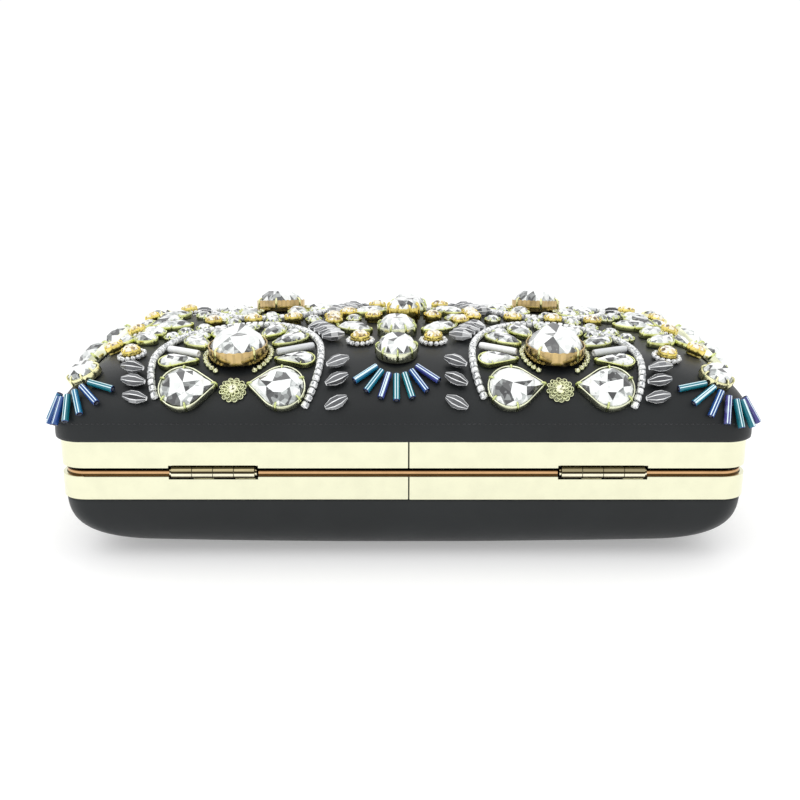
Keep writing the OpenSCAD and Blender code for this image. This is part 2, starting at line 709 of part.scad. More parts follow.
// A navette outline is where two equal circles overlap.
function navette_radius(width, length) = (pow(width, 2) + pow(length, 2)) / (4 * width);
module navette_flat(width, length, grow) {
    r = navette_radius(width, length);
    intersection_for(side = sides) translate([side * (r - width / 2), 0]) circle(r + grow);
}
function navette_outline(width, length) =
    let (r = navette_radius(width, length), half = asin(length / 2 / r), cuts = ceil(facets / 2))
    [for (side = [1, -1], i = [0:cuts - 1])
        let (a = -half + 2 * half * i / cuts) [side * (r * cos(a) - r + width / 2), side * r * sin(a)]];

module faceted_crystal(outline, height) {
    n = len(outline);
    rows = len(crystal_levels_shares);
    polyhedron(
        points = [for (level = crystal_levels_shares, p = outline)
            [p.x * level[0], p.y * level[0], level[1] * height]],
        faces = concat(
            [for (k = [0:rows - 2], i = [0:n - 1])
                let (a = k * n + i, b = k * n + (i + 1) % n) each [[a, a + n, b + n], [a, b + n, b]]],
            [for (i = [1:n - 2]) [0, i, i + 1]],
            [for (i = [1:n - 2]) let (top = (rows - 1) * n) [top, top + i + 1, top + i]]));
}
module round_crystal(size) rotate_extrude()
    polygon([for (level = round_levels_shares) [level[0] * size / 2, level[1] * size]]);
module on_cup_floor() translate([0, 0, cup_wall + cup_clearance]) children();

module cup(height) difference() {
    linear_extrude(height) children(0);
    translate([0, 0, cup_wall]) linear_extrude(height) children(1);
}
module pear_cup(width, length, height) cup(height) {
    pear_flat(width, length, cup_clearance + cup_wall);
    pear_flat(width, length, cup_clearance);
}
module navette_cup(width, length, height) cup(height) {
    navette_flat(width, length, cup_clearance + cup_wall);
    navette_flat(width, length, cup_clearance);
}
module round_cup(size, height) cup(height) {
    circle(size / 2 + cup_clearance + cup_wall);
    circle(size / 2 + cup_clearance);
}
function cup_radius(size) = size / 2 + cup_clearance + cup_wall;

// A round cup on a gallery that is as wide as the stone.
module raised_cup(size, height, lift) {
    cylinder(d = size, h = lift);
    translate([0, 0, lift]) round_cup(size, height);
}
module on_raised_floor(lift) translate([0, 0, lift + cup_wall + cup_clearance]) children();

// Small beads round the studs, and the prongs of the medallion.
stud_bead_share = 0.7;
stud_bead = stud_bead_share * seed_bead;
stud_ring = cup_radius(stud_gem) + glue_line + stud_bead / 2;
stud_radius = stud_ring + stud_bead / 2;
prong = 2 * cup_wall;

// Crystals are this share of their width high, and their cups reach over the girdle.
crystal_share = 0.42;
function crystal_height(width) = crystal_share * width;
function cup_height(width) = cup_wall + cup_share * crystal_height(width);

// Drops in deep cups, with a horseshoe of small stones open at its foot.
chain_gap = 0.15;
chain_step = 5;
chain_open = 55;
chain_out = cup_clearance + cup_wall + chain_gap + chain_stone / 2;
drop_slope = pear_slope(drop_width, drop_length);
drop_round = [0, drop_height + pear_centre(drop_width, drop_length)];
chain_radius = drop_width / 2 + chain_out;
chain_top = drop_round + chain_radius * [cos(drop_slope), sin(drop_slope)];
chain_path = concat(
    [for (a = [-chain_open:chain_step:drop_slope]) drop_round + chain_radius * [cos(a), sin(a)]],
    [chain_top + drop_width / 3 * [-sin(drop_slope), cos(drop_slope)]]);

module drop_crystals() color("lightcyan") each_peacock() seat(0, drop_height) on_cup_floor()
    faceted_crystal(pear_outline(drop_width, drop_length), crystal_height(drop_width));
module drop_cups() color("gold") each_peacock() seat(0, drop_height)
    pear_cup(drop_width, drop_length, cup_height(drop_width));
module drop_stone_chains() color("khaki") each_peacock() for (side = sides)
    row_on([for (p = chain_path) [side * p.x, p.y]], chain_stone + chain_gap) {
        cylinder(d = chain_stone, h = chain_stone / 2);
        translate([0, 0, chain_stone / 2])
            cylinder(d1 = chain_stone, d2 = chain_stone / 2, h = chain_stone / 3);
    }

// Pears of the foot, tips inwards, with a rosette between them and a small drop over each. The
// small drops stand outside the chain of a peacock motif, and outside the stud on an end.
pear_tilt = 6;
pear_place = rosette_size / 2 + jewel_gap + pear_length / 2;
side_drop_height = foot_height + pear_width / 2 + side_drop_width / 2 + 3 * jewel_gap;
side_drop_place = chain_radius + chain_stone / 2 + side_drop_length / 2 + 2 * jewel_gap;
end_drop_place = stud_radius + side_drop_length / 2 + 4 * jewel_gap;

module each_pear() each_foot() for (side = sides)
    seat(side * pear_place, foot_height, side * (90 - pear_tilt)) children();
module each_side_drop() {
    each_peacock() for (side = sides) seat(side * side_drop_place, side_drop_height, side * 90) children();
    each_end() for (side = sides) seat(side * end_drop_place, side_drop_height, side * 90) children();
}

module pear_crystals() color("lightcyan") each_pear() on_cup_floor()
    faceted_crystal(pear_outline(pear_width, pear_length), crystal_height(pear_width));
module pear_cups() color("palegoldenrod") each_pear()
    pear_cup(pear_width, pear_length, cup_height(pear_width));
module side_drop_crystals() color("lightcyan") each_side_drop() on_cup_floor()
    faceted_crystal(pear_outline(side_drop_width, side_drop_length), crystal_height(side_drop_width));
module side_drop_cups() color("yellowgreen") each_side_drop()
    pear_cup(side_drop_width, side_drop_length, cup_height(side_drop_width));

rosette_beads = 12;
rosette_bead_share = 0.16;
rosette_cup_share = 0.7;
rosette_bead = rosette_bead_share * rosette_size;
rosette_stone = rosette_size / 3;
rosette_height = rosette_cup_share * rosette_bead;
module rosettes() color("khaki") each_foot() seat(0, foot_height) {
    cup(rosette_height) {
        circle((rosette_size - rosette_bead) / 2);
        circle(rosette_stone / 2 + cup_clearance);
    }
    for (k = [0:rosette_beads - 1]) rotate([0, 0, k * 360 / rosette_beads])
        translate([(rosette_size - rosette_bead) / 2, 0, 0]) cylinder(d = rosette_bead, h = rosette_bead);
}
module rosette_crystals() color("lightyellow") each_foot() seat(0, foot_height) on_cup_floor()
    round_crystal(rosette_stone);

// Navettes round the tip of each drop, over the fans and on the ends of the case. Those of a
// motif have their place in shares of its arch, out from its middle and up from its waist.
arch_rise = lid_middle - arch_waist - arch_from_crown;
outer_navette_shares = [0.59, 0.39];
upper_navette_shares = [0.335, 0.68];
arch_round_shares = [0.585, 0.615];
function in_arch(shares) = [shares.x * arch_half_width, arch_waist + shares.y * arch_rise];
outer_navette = in_arch(outer_navette_shares);
upper_navette = in_arch(upper_navette_shares);
fan_navette_share = 1.17;
fan_navette = [fan_navette_share * fan_gem, upper_gem_height + navette_width / 2];
corner_navette = [11, 31];
outer_turn = 50;
upper_turn = 20;
fan_turn = 60;
spray_turns = [-50, 0, 50];
spray_foot = foot_height + rosette_size / 2 + stud_radius + 4 * jewel_gap;
spray_reach = stud_radius + navette_length / 2 + 2 * jewel_gap;
module each_navette() {
    each_peacock() for (side = sides) {
        seat(side * outer_navette.x, outer_navette.y, -side * outer_turn) children();
        seat(side * upper_navette.x, upper_navette.y, -side * upper_turn) children();
    }
    each_long_side() for (side = sides)
        seat(side * fan_navette.x, fan_navette.y, -side * fan_turn) children();
    each_corner() seat($corner * corner_navette.x, corner_navette.y, $corner * fan_turn) children();
    each_end() for (a = spray_turns)
        seat(spray_reach * sin(a), spray_foot + spray_reach * cos(a), -a) children();
}
module navette_crystals() color("lightcyan") each_navette() on_cup_floor()
    faceted_crystal(navette_outline(navette_width, navette_length), crystal_height(navette_width));
module navette_cups() color("yellowgreen") each_navette()
    navette_cup(navette_width, navette_length, cup_height(navette_width));

// Fans: a round gem with bugle beads spread below it.
fan_spread = 102;
corner_spread = 96;
bugle_gap = 1;
bugle_bore_share = 0.4;
module fan_gems() color("lightcyan") each_fan_gem() on_cup_floor() round_crystal(fan_gem);
module fan_gem_cups() color("palegoldenrod") each_fan_gem() round_cup(fan_gem, cup_height(fan_gem));
module corner_gems() color("lightcyan") each_corner_gem() on_cup_floor() round_crystal(corner_gem);
module corner_gem_cups() color("palegoldenrod") each_corner_gem()
    round_cup(corner_gem, cup_height(corner_gem));
module bugle_beads() color("steelblue") each_fan() for (k = [0:$bugles - 1]) {
    a = (k / ($bugles - 1) - 0.5) * $spread - $corner * corner_lean;
    way = [sin(a), -cos(a)];
    start = cup_radius($gem) + bugle_gap;
    lay($root + start * way, $root + (start + bugle_length) * way)
        translate([0, 0, bugle_bead / 2]) rotate([0, 90, 0]) difference() {
            cylinder(d = bugle_bead, h = bugle_length, center = true);
            cylinder(d = bugle_bead * bugle_bore_share, h = bugle_length + overrun, center = true);
        }
}

// Amber stones: studs beside the fans and on the ends, single stones over the fans and at the
// corners, and every other stone of the row along the crown.
stud_rise = 10;
stud_place = [cup_radius(fan_gem) + cup_radius(stud_gem) + 4 * jewel_gap, fan_height + stud_rise];
corner_stud_place = [-1.5, 26.2];
corner_stone = [14, 23];
fan_stone_shares = [1.76, 0.66];
fan_stone = [fan_stone_shares.x * fan_gem, fan_navette.y + fan_stone_shares.y * fan_gem];
crown_stones = 9;
crown_start = cup_radius(medallion_gem) + prong + cup_radius(stud_gem) + jewel_gap;
module each_stud() {
    each_long_side() for (side = sides) seat(side * stud_place.x, stud_place.y) children();
    each_corner() seat($corner * corner_stud_place.x, corner_stud_place.y) children();
    each_end() seat(0, spray_foot) children();
}
module along_crown(first) for (side = sides, k = [first:2:crown_stones - 1])
    lid_centre(side * (crown_start + k * crown_pitch)) children();
module each_amber() {
    each_stud() children();
    each_long_side() for (side = sides) seat(side * fan_stone.x, fan_stone.y) children();
    each_corner() seat($corner * corner_stone.x, corner_stone.y) children();
    along_crown(0) children();
}
module amber_stones() color("orange") each_amber() on_raised_floor(stud_lift) round_crystal(stud_gem);
module amber_stone_cups() color("gold") each_amber()
    raised_cup(stud_gem, cup_height(stud_gem), stud_lift);

stud_beads = floor(2 * PI * stud_ring / (stud_bead + glue_line));
module stud_seed_beads() color("ivory") each_stud() for (k = [0:stud_beads - 1])
    rotate([0, 0, k * 360 / stud_beads]) translate([stud_ring, 0, stud_bead / 2]) sphere(d = stud_bead);

// Small round crystals over the fans, in the peacock motifs and outside their arches, and
// between the amber stones along the crown.
fan_round = fan_height + cup_radius(fan_gem) + cup_radius(round_gem) + jewel_gap;
arch_round = in_arch(arch_round_shares);
arch_top_round = arch_waist + arch_rise - seed_bead / 2 - cup_radius(round_gem) - jewel_gap;
outer_round_angles = [122, 137, 152];
outer_round_gap = seed_bead / 2 + cup_radius(round_gem) + jewel_gap;
module each_round() {
    each_long_side() seat(0, fan_round) children();
    each_peacock() {
        seat(0, arch_top_round) children();
        for (side = sides) seat(side * arch_round.x, arch_round.y) children();
        for (a = outer_round_angles) {
            p = arch_point(a, outer_round_gap);
            seat($inner * p.x, p.y) children();
        }
    }
    along_crown(1) children();
}
module round_crystals() color("lightcyan") each_round() on_cup_floor() round_crystal(round_gem);
module round_crystal_cups() color("palegoldenrod") each_round()
    round_cup(round_gem, cup_height(round_gem));

// The medallion in the middle of the crown stands on a gallery, in a cup with prongs.
prongs = 8;
medallion_cup_share = 0.24;
medallion_cup_height = medallion_cup_share * medallion_gem;
module medallion_stone() color("lightcyan") lid_centre(0) on_raised_floor(medallion_lift)
    round_crystal(medallion_gem);
module medallion_cup() color("gold") lid_centre(0) {
    raised_cup(medallion_gem, medallion_cup_height, medallion_lift);
    for (k = [0:prongs - 1]) rotate([0, 0, k * 360 / prongs])
        translate([cup_radius(medallion_gem) + prong / 2 - cup_wall / 2, 0, 0])
            cylinder(d = prong, h = medallion_lift + medallion_cup_height + cup_wall);
}

// Frosted bars beside the drops.
bar_turn = 24;
bar_place = [(chain_radius + arch_half_width) / 2 - jewel_gap,
    side_drop_height + side_drop_width / 2 + bar_size + 2 * jewel_gap];
module frosted_bars() color("white") each_peacock() for (side = sides)
    seat(side * bar_place.x, bar_place.y, side * bar_turn)
        translate([-bar_length / 2, -bar_size / 2, 0]) cube([bar_length, bar_size, bar_size]);

// Arches of seed beads, and the oval beads outside them. Angles go round the arch's middle.
function arch_point(a, out) =
    let (up = sin(a) < 0 ? arch_drop : arch_rise,
         p = [arch_half_width * cos(a), arch_waist + up * sin(a)],
         n = unit([cos(a) / arch_half_width, sin(a) / up]))
    p + out * n;
arch_step = 2;
arch_path = [for (a = [-arch_end:arch_step:180 + arch_end]) arch_point(a, 0)];
seed_length_share = 0.8;
seed_length = seed_length_share * seed_bead;
seed_gap = 0.3;
module seed_bead_arches() color("whitesmoke") each_peacock() row_on(arch_path, seed_length + seed_gap)
    translate([0, 0, seed_bead / 2]) rotate([0, 90, 0])
        cylinder(d = seed_bead, h = seed_length, center = true);

bead_levels_shares = [[0, -0.5], [0.4, -0.5], [1, -0.14], [1, 0.14], [0.4, 0.5], [0, 0.5]];
module oval_shape() translate([0, 0, oval_bead / 2]) rotate([0, 90, 0]) rotate_extrude()
    polygon([for (level = bead_levels_shares) [level[0] * oval_bead / 2, level[1] * oval_length]]);
ovals = 3;
oval_pitch_share = 1.62;
oval_pitch = oval_pitch_share * oval_bead;
oval_top = arch_waist - oval_bead / 2;
oval_out = seed_bead / 2 + oval_length / 2 + jewel_gap;
oval_place = arch_half_width + oval_out;

// The ovals on the side towards the end of the case lie flatter and closer, and follow the arch.
end_turn_share = 0.35;
end_pitch_share = 0.77;
end_step = 1.1;
module oval_row(side, pitch, step, turn) for (k = [0:ovals - 1])
    seat(side * (oval_place - k * step), oval_top - oval_pitch + (1 - k) * pitch, side * turn) oval_shape();
module oval_beads() color("lightcyan") each_peacock() {
    oval_row($inner, oval_pitch, 0, oval_turn);
    oval_row(-$inner, end_pitch_share * oval_pitch, end_step, end_turn_share * oval_turn);
}

// The fringe runs over the arch on the side towards the middle of the case.
fringe_start = 24;
fringe_end = 56;
fringe_path = [for (a = [fringe_start:arch_step:fringe_end]) arch_point(a, oval_out)];
fringe_pitch_share = 1.13;
fringe_pitch = fringe_pitch_share * oval_bead;
module fringe_beads() color("lightcyan") each_peacock()
    row_on([for (p = fringe_path) [$inner * p.x, p.y]], fringe_pitch) rotate([0, 0, 90]) oval_shape();

base_cover();
base_shell();
base_lining();
base_band();
base_inner_rim();
left_hinge_base_leaf();
right_hinge_base_leaf();
left_hinge_pin();
right_hinge_pin();
catch_box();
catch_spring();
catch_rivets();
button_bush();
push_button();
button_clip();
lid_cover();
lid_shell();
lid_lining();
lid_band();
left_hinge_lid_leaf();
right_hinge_lid_leaf();
lid_striker();
drop_crystals();
drop_cups();
drop_stone_chains();
pear_crystals();
pear_cups();
side_drop_crystals();
side_drop_cups();
navette_crystals();
navette_cups();
rosettes();
rosette_crystals();
fan_gems();
fan_gem_cups();
corner_gems();
corner_gem_cups();
bugle_beads();
amber_stones();
amber_stone_cups();
stud_seed_beads();
round_crystals();
round_crystal_cups();
medallion_stone();
medallion_cup();
frosted_bars();
seed_bead_arches();
oval_beads();
fringe_beads();
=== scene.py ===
"""Looks of a hard-cased evening clutch with a jewelled satin lid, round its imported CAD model."""

import math
import random

import bmesh
import bpy
import numpy as np
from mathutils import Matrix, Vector, noise
from mathutils.bvhtree import BVHTree


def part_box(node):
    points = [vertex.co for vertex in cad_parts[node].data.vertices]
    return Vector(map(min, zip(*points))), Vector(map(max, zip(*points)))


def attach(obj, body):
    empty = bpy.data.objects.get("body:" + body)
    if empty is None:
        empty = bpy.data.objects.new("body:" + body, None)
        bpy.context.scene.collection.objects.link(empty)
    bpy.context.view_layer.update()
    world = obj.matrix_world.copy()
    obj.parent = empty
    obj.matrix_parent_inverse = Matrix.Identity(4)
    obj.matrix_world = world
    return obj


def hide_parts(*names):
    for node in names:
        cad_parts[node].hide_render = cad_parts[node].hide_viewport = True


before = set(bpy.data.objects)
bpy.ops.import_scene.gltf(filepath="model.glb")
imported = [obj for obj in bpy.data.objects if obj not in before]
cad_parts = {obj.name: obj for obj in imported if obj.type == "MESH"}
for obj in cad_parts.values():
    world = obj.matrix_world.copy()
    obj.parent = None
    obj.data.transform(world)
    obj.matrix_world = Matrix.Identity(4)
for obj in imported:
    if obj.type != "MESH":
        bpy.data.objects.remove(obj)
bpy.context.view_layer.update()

MM = 0.001
UP = Vector((0, 0, 1))
BLACK = (0, 0, 0)
WHITE = (1, 1, 1)

# Sizes read from the frame
lid_band_low, lid_band_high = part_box("lid_band")
base_band_low, base_band_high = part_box("base_band")
HALF_X = lid_band_high.x
HALF_Y = lid_band_high.y
GAP_Z = (lid_band_low.z + base_band_high.z) / 2

# Shape of the two domes and place of the bands' seam, as the CAD model has them
SEAM_X = 1.5 * MM
FRAME_CORNER = 8 * MM
SHOULDER_CORNER = 20 * MM
SHOULDER_POWER = 2.25
CROWN = 4.8 * MM
GLUE = 0.05 * MM
LID_OVERHANG = 1.4 * MM
LID_SHOULDER_IN = 22 * MM
LID_SHOULDER = 29 * MM
BASE_INSET = 0.5 * MM
BASE_SHOULDER_IN = 14 * MM
BASE_SHOULDER = 24.3 * MM
LINING_EDGE = 2.55 * MM
LINING_WALL = 0.8 * MM
LID_LINING_FOOT = 1.3 * MM
LID_LINING_SHOULDER = 26.2 * MM
BASE_LINING_SKIRT = 3.45 * MM
BASE_LINING_FOOT = 1.61 * MM
BASE_LINING_SHOULDER = 22.25 * MM
BASE_LINING_FLOOR = 2.05 * MM
JOGGLE = 1.2 * MM

LID_FOOT = lid_band_high.z - GAP_Z + GLUE
BASE_FOOT = GAP_Z - base_band_low.z + GLUE


# Materials
class Shader:
    """A Principled material that is built up node by node."""

    def __init__(self, name, color, roughness, metallic=0.0, **sockets):
        self.material = bpy.data.materials.new(name)
        self.material.use_nodes = True
        self.tree = self.material.node_tree
        self.surface = self.tree.nodes["Principled BSDF"]
        self.set("Base Color", (*color, 1))
        self.set("Roughness", roughness)
        self.set("Metallic", metallic)
        for socket, value in sockets.items():
            self.set(socket.replace("_", " "), value)
        self.where = self.tree.nodes.new("ShaderNodeTexCoord").outputs["Object"]
        self.height = None

    def set(self, socket, value):
        self.surface.inputs[socket].default_value = value

    def link(self, output, socket):
        self.tree.links.new(output, self.surface.inputs[socket])

    def add(self, kind, inputs=None, **settings):
        made = self.tree.nodes.new(kind)
        for key, value in settings.items():
            setattr(made, key, value)
        for key, value in (inputs or {}).items():
            if isinstance(value, bpy.types.NodeSocket):
                self.tree.links.new(value, made.inputs[key])
            else:
                made.inputs[key].default_value = value
        return made

    def noise(self, size, detail=3.0, stretch=(1, 1, 1)):
        """Cloudy noise whose features are about size long."""
        spot = self.add("ShaderNodeMapping", {"Vector": self.where, "Scale": stretch}).outputs[0]
        inputs = {"Vector": spot, "Scale": 1 / size, "Detail": detail}
        return self.add("ShaderNodeTexNoise", inputs).outputs["Fac"]

    def wave(self, pitch, turn):
        """Parallel stripes at a pitch along X, turned."""
        spot = self.add("ShaderNodeMapping", {"Vector": self.where, "Rotation": turn}).outputs[0]
        inputs = {"Vector": spot, "Scale": 2 * math.pi / (20 * pitch)}
        return self.add("ShaderNodeTexWave", inputs).outputs["Fac"]

    def tone(self):
        """The tone of each face, from 0 to 1."""
        return self.add("ShaderNodeAttribute", attribute_name="tone").outputs["Fac"]

    def ramp(self, factor, stops):
        """Colours along a factor, from stops of (place, color)."""
        made = self.add("ShaderNodeValToRGB", {"Fac": factor})
        elements = made.color_ramp.elements
        while len(elements) < len(stops):
            elements.new(0.5)
        for element, (place, color) in zip(elements, stops):
            element.position = place
            element.color = (*color, 1)
        return made.outputs["Color"]

    def span(self, factor, low, high):
        """A factor of 0 to 1 stretched to run from low to high."""
        inputs = {"Value": factor, "To Min": low, "To Max": high}
        return self.add("ShaderNodeMapRange", inputs).outputs[0]

    def calc(self, operation, *values):
        return self.add("ShaderNodeMath", dict(enumerate(values)), operation=operation).outputs[0]

    def varied_tone(self, factor, low, high):
        """The faces' tone with a factor of 0 to 1 added to it as low to high."""
        return self.calc("ADD", self.tone(), self.span(factor, low, high))

    def within(self, limits):
        """1 inside a region, and 0 elsewhere. Each limit is an axis with two places along it."""
        inside = 1.0
        for axis, low, high in limits:
            place = self.add("ShaderNodeSeparateXYZ", {0: self.where}).outputs[axis]
            ruled = self.calc("COMPARE", place, (low + high) / 2, (high - low) / 2)
            inside = self.calc("MULTIPLY", inside, ruled)
        return inside

    def mix(self, factor, first, second):
        """The first colour, and the second, a plain one, where the factor is 1."""
        inputs = {0: factor, 6: first, 7: (*second, 1)}
        return self.add("ShaderNodeMix", inputs, data_type="RGBA").outputs[2]

    def bump(self, height, distance, strength=1.0):
        """Adds a bump over the ones before it."""
        inputs = {"Height": height, "Distance": distance, "Strength": strength}
        if self.height is not None:
            inputs["Normal"] = self.height
        self.height = self.add("ShaderNodeBump", inputs).outputs["Normal"]
        self.link(self.height, "Normal")


def satin(name, color, sheen):
    """Cloth with soft clouds, a slanted weave and a little fuzz."""
    s = Shader(name, color, 0.42, Sheen_Weight=sheen, Sheen_Roughness=0.35, Specular_IOR_Level=0.3)
    cloud = s.noise(22 * MM, 4.0)
    tint = [tuple(c * k for c in color) for k in (0.82, 1.0, 1.2)]
    s.link(s.ramp(cloud, list(zip((0.3, 0.5, 0.7), tint))), "Base Color")
    s.link(s.span(s.noise(9 * MM, 3.0), 0.36, 0.52), "Roughness")
    s.bump(s.noise(7 * MM, 2.0), 0.25 * MM, 0.35)
    s.bump(s.wave(0.28 * MM, (0, 0.5, 0.6)), 0.02 * MM, 0.5)
    s.bump(s.noise(0.3 * MM, 2.0, (1, 0.35, 1)), 0.03 * MM, 0.5)
    return s.material


def plated(name, color, roughness, wear=0.12, accent=None, seams_and_painted_light=()):
    """Gold plate with faint clouds, fine polishing lines and dulled patches. Faces with a tone over
    a half are darkened, painted shade for crevices and grooves, and those with none have the
    accent. Each marked region is its limits and its colour: a dark seam, or painted shade and
    painted reflection bands."""
    s = Shader(name, color, roughness, 1.0)
    dull = tuple(c * (1 - wear) for c in color)
    clean = s.ramp(s.noise(5 * MM, 4.0), [(0.3, dull), (0.6, color)])
    if accent:
        bare = s.ramp(s.tone(), [(0.2, WHITE), (0.4, BLACK)])
        clean = s.mix(bare, clean, accent)
    # Regions of dark seams, which the plate has, and of painted shade and painted reflection bands.
    for limits, seam_and_painted_colour in seams_and_painted_light:
        clean = s.mix(s.within(limits), clean, seam_and_painted_colour)
    # Painted shade: faces with a tone over a half darken, for crevices and grooves.
    painted_crevice_shade = s.ramp(s.tone(), [(0.5, BLACK), (1.0, WHITE)])
    s.link(s.mix(painted_crevice_shade, clean, tuple(c * 0.22 for c in color)), "Base Color")
    s.link(s.span(s.noise(3 * MM, 3.0), roughness * 0.7, roughness * 1.5), "Roughness")
    s.bump(s.noise(0.4 * MM, 3.0, (0.15, 1, 1)), 0.006 * MM, 0.4)
    return s.material


def crystal(name, dark, tint, bright, soft=False):
    """Cut glass: each facet shows its own mix of the dark, the tint and the bright, a painted
    reflection broken up by painted glints from the foiled facets behind it. Soft glass has no
    foil and mirrors less."""
    level, coat = (0.3, 0.0) if soft else (0.7, 0.6)
    s = Shader(name, bright, 0.05, IOR=1.6, Specular_IOR_Level=level, Coat_Weight=coat,
               Coat_Roughness=0.03)
    seen = s.tone()
    if not soft:
        # Painted glints: a cell pattern breaks up the facet tones.
        inputs = {"Vector": s.where, "Scale": 1 / (1.5 * MM)}
        behind = s.add("ShaderNodeTexVoronoi", inputs).outputs["Color"]
        seen = s.varied_tone(behind, -0.36, 0.3)
    s.link(s.ramp(seen, [(0.12, dark), (0.5, tint), (0.82, bright)]), "Base Color")
    s.bump(s.noise(1.4 * MM, 2.0), 0.02 * MM, 0.12)
    return s.material


def bead_glass(name, low, high, roughness, metallic=0.0):
    """Bead glass whose colour varies from bead to bead and a little along each."""
    s = Shader(name, high, roughness, metallic, Coat_Weight=0.7, Coat_Roughness=0.06)
    seen = s.varied_tone(s.noise(1.1 * MM, 2.0), -0.18, 0.18)
    s.link(s.ramp(seen, [(0.1, low), (0.9, high)]), "Base Color")
    s.bump(s.noise(0.5 * MM, 2.0), 0.01 * MM, 0.3)
    return s.material


def iridescent(name):
    """Lined blue tube glass: dark ends, a body from teal over blue to violet, and painted highlight
    streaks.
    """
    s = Shader(name, (0.05, 0.2, 0.6), 0.14, 0.15, Coat_Weight=0.35, Coat_Roughness=0.05)
    seen = s.varied_tone(s.noise(2.2 * MM, 2.0), -0.07, 0.07)
    dark, teal, sea = (0.004, 0.008, 0.03), (0.004, 0.16, 0.20), (0.006, 0.17, 0.30)
    blue, violet, streak = (0.01, 0.06, 0.25), (0.06, 0.05, 0.24), (0.74, 0.92, 0.97)
    s.link(s.ramp(seen, [(0.05, dark), (0.2, teal), (0.4, sea), (0.55, blue), (0.75, violet),
                         (0.93, streak)]), "Base Color")
    s.bump(s.noise(0.7 * MM, 2.0), 0.015 * MM, 0.3)
    return s.material


def between(low, high):
    """The limits of a region that lies between two heights over the gap, in millimetres."""
    return ((2, GAP_Z + low * MM, GAP_Z + high * MM),)


SATIN = satin("black_satin", (0.0105, 0.0125, 0.0135), 0.06)
LINING = satin("lining_cloth", (0.014, 0.014, 0.017), 0.25)
BOARD = Shader("pressed_board", (0.2, 0.19, 0.17), 0.8)
BOARD.bump(BOARD.noise(0.8 * MM, 3.0), 0.05 * MM)
PALE = (0.79, 0.785, 0.58)
PALE_GOLD = plated("pale_gold", PALE, 0.16, 0.05)
SEAM = ((0, SEAM_X - 0.16 * MM, SEAM_X + 0.16 * MM), (1, -HALF_Y - MM, 0))
BAND_GOLD = plated("band_gold", PALE, 0.16, 0.05, seams_and_painted_light=((SEAM, (0.06, 0.04, 0.02)),))
SILVERED = plated("cup_gold", (0.86, 0.88, 0.64), 0.18, 0.3, accent=(0.62, 0.68, 0.30))
LIGHT_GOLD = plated("light_gold", (0.92, 0.89, 0.52), 0.18, 0.3)
# Painted shadow: the rim's low strip, in the gap by the base band, and its top strip under the lid
# band.
ROSE_GOLD = plated("rose_gold", (0.62, 0.38, 0.19), 0.2, seams_and_painted_light=(
    (between(-1.3, -0.75), (0.09, 0.05, 0.02)), (between(-0.1, 1), (0.16, 0.08, 0.03))))
# Painted reflection: bands across the knuckles, with painted shade at their top and bottom edges.
HINGE_GOLD = plated("hinge_gold", (0.93, 0.89, 0.68), 0.2, 0.15, seams_and_painted_light=(
    (between(0.6, 1.3), (0.36, 0.31, 0.18)), (between(0, 0.6), (0.03, 0.022, 0.01)),
    (between(1.25, 2), (0.12, 0.10, 0.05)), (between(-2, -0.85), (0.05, 0.035, 0.015))))
BROWN_GOLD = plated("brown_gold", (0.60, 0.44, 0.20), 0.16, 0.45, accent=(0.78, 0.76, 0.40))
YELLOW_GOLD = plated("yellow_gold", (0.90, 0.74, 0.22), 0.18, 0.35)
GREEN_GOLD = plated("green_gold", (0.80, 0.84, 0.38), 0.2, 0.4)
LIGHT_GREEN_GOLD = plated("light_green_gold", (0.84, 0.87, 0.55), 0.2, 0.3)
STEEL = plated("spring_steel", (0.66, 0.66, 0.66), 0.3)
CLEAR = crystal("clear_crystal", (0.015, 0.016, 0.018), (0.50, 0.53, 0.52), (0.93, 0.95, 0.94))
GREEN_TINT = crystal("pale_citrine", (0.10, 0.10, 0.02), (0.62, 0.62, 0.28), (0.95, 0.95, 0.70))
AMBER = crystal("amber_glass", (0.12, 0.06, 0.01), (0.66, 0.48, 0.16), (0.96, 0.93, 0.80))
FROST = bead_glass("frosted_beads", (0.62, 0.64, 0.66), (0.96, 0.97, 0.97), 0.3)
PEARL = bead_glass("lustre_beads", (0.22, 0.235, 0.25), (0.97, 0.98, 0.98), 0.16, 0.1)
BEAD_CLEAR = crystal("clear_beads", (0.03, 0.031, 0.034), (0.16, 0.165, 0.175),
                     (0.95, 0.96, 0.97), soft=True)
BLUE = iridescent("blue_bugles")
THREAD = satin("thread", (0.028, 0.028, 0.031), 0.2)


# Meshes
class Pile:
    """Points and faces gathered into one mesh. Each face has a tone from 0 to 1."""

    def __init__(self):
        self.points, self.faces, self.tones, self.smooth = [], [], [], []

    def add(self, points, faces, tone=0.5, smooth=False):
        """tone is one number, or one for each face."""
        first = len(self.points)
        self.points.extend(points)
        self.faces.extend([tuple(i + first for i in f) for f in faces])
        self.tones.extend(tone if isinstance(tone, list) else [tone] * len(faces))
        self.smooth.extend([smooth] * len(faces))

    def object(self, name, material):
        mesh = bpy.data.meshes.new(name)
        mesh.from_pydata([tuple(p) for p in self.points], [], self.faces)
        mesh.polygons.foreach_set("use_smooth", self.smooth)
        tone = mesh.attributes.new("tone", "FLOAT", "FACE")
        tone.data.foreach_set("value", [float(t) for t in self.tones])
        mesh.materials.append(material)
        mesh.validate()
        made = bpy.data.objects.new(name, mesh)
        bpy.context.scene.collection.objects.link(made)
        return made


def put(piece, body, slot, *nodes):
    """Declares a finished piece's body and the CAD nodes that it stands for. Its slot is not used.
    """
    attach(piece, body)
    if nodes:
        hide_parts(*nodes)


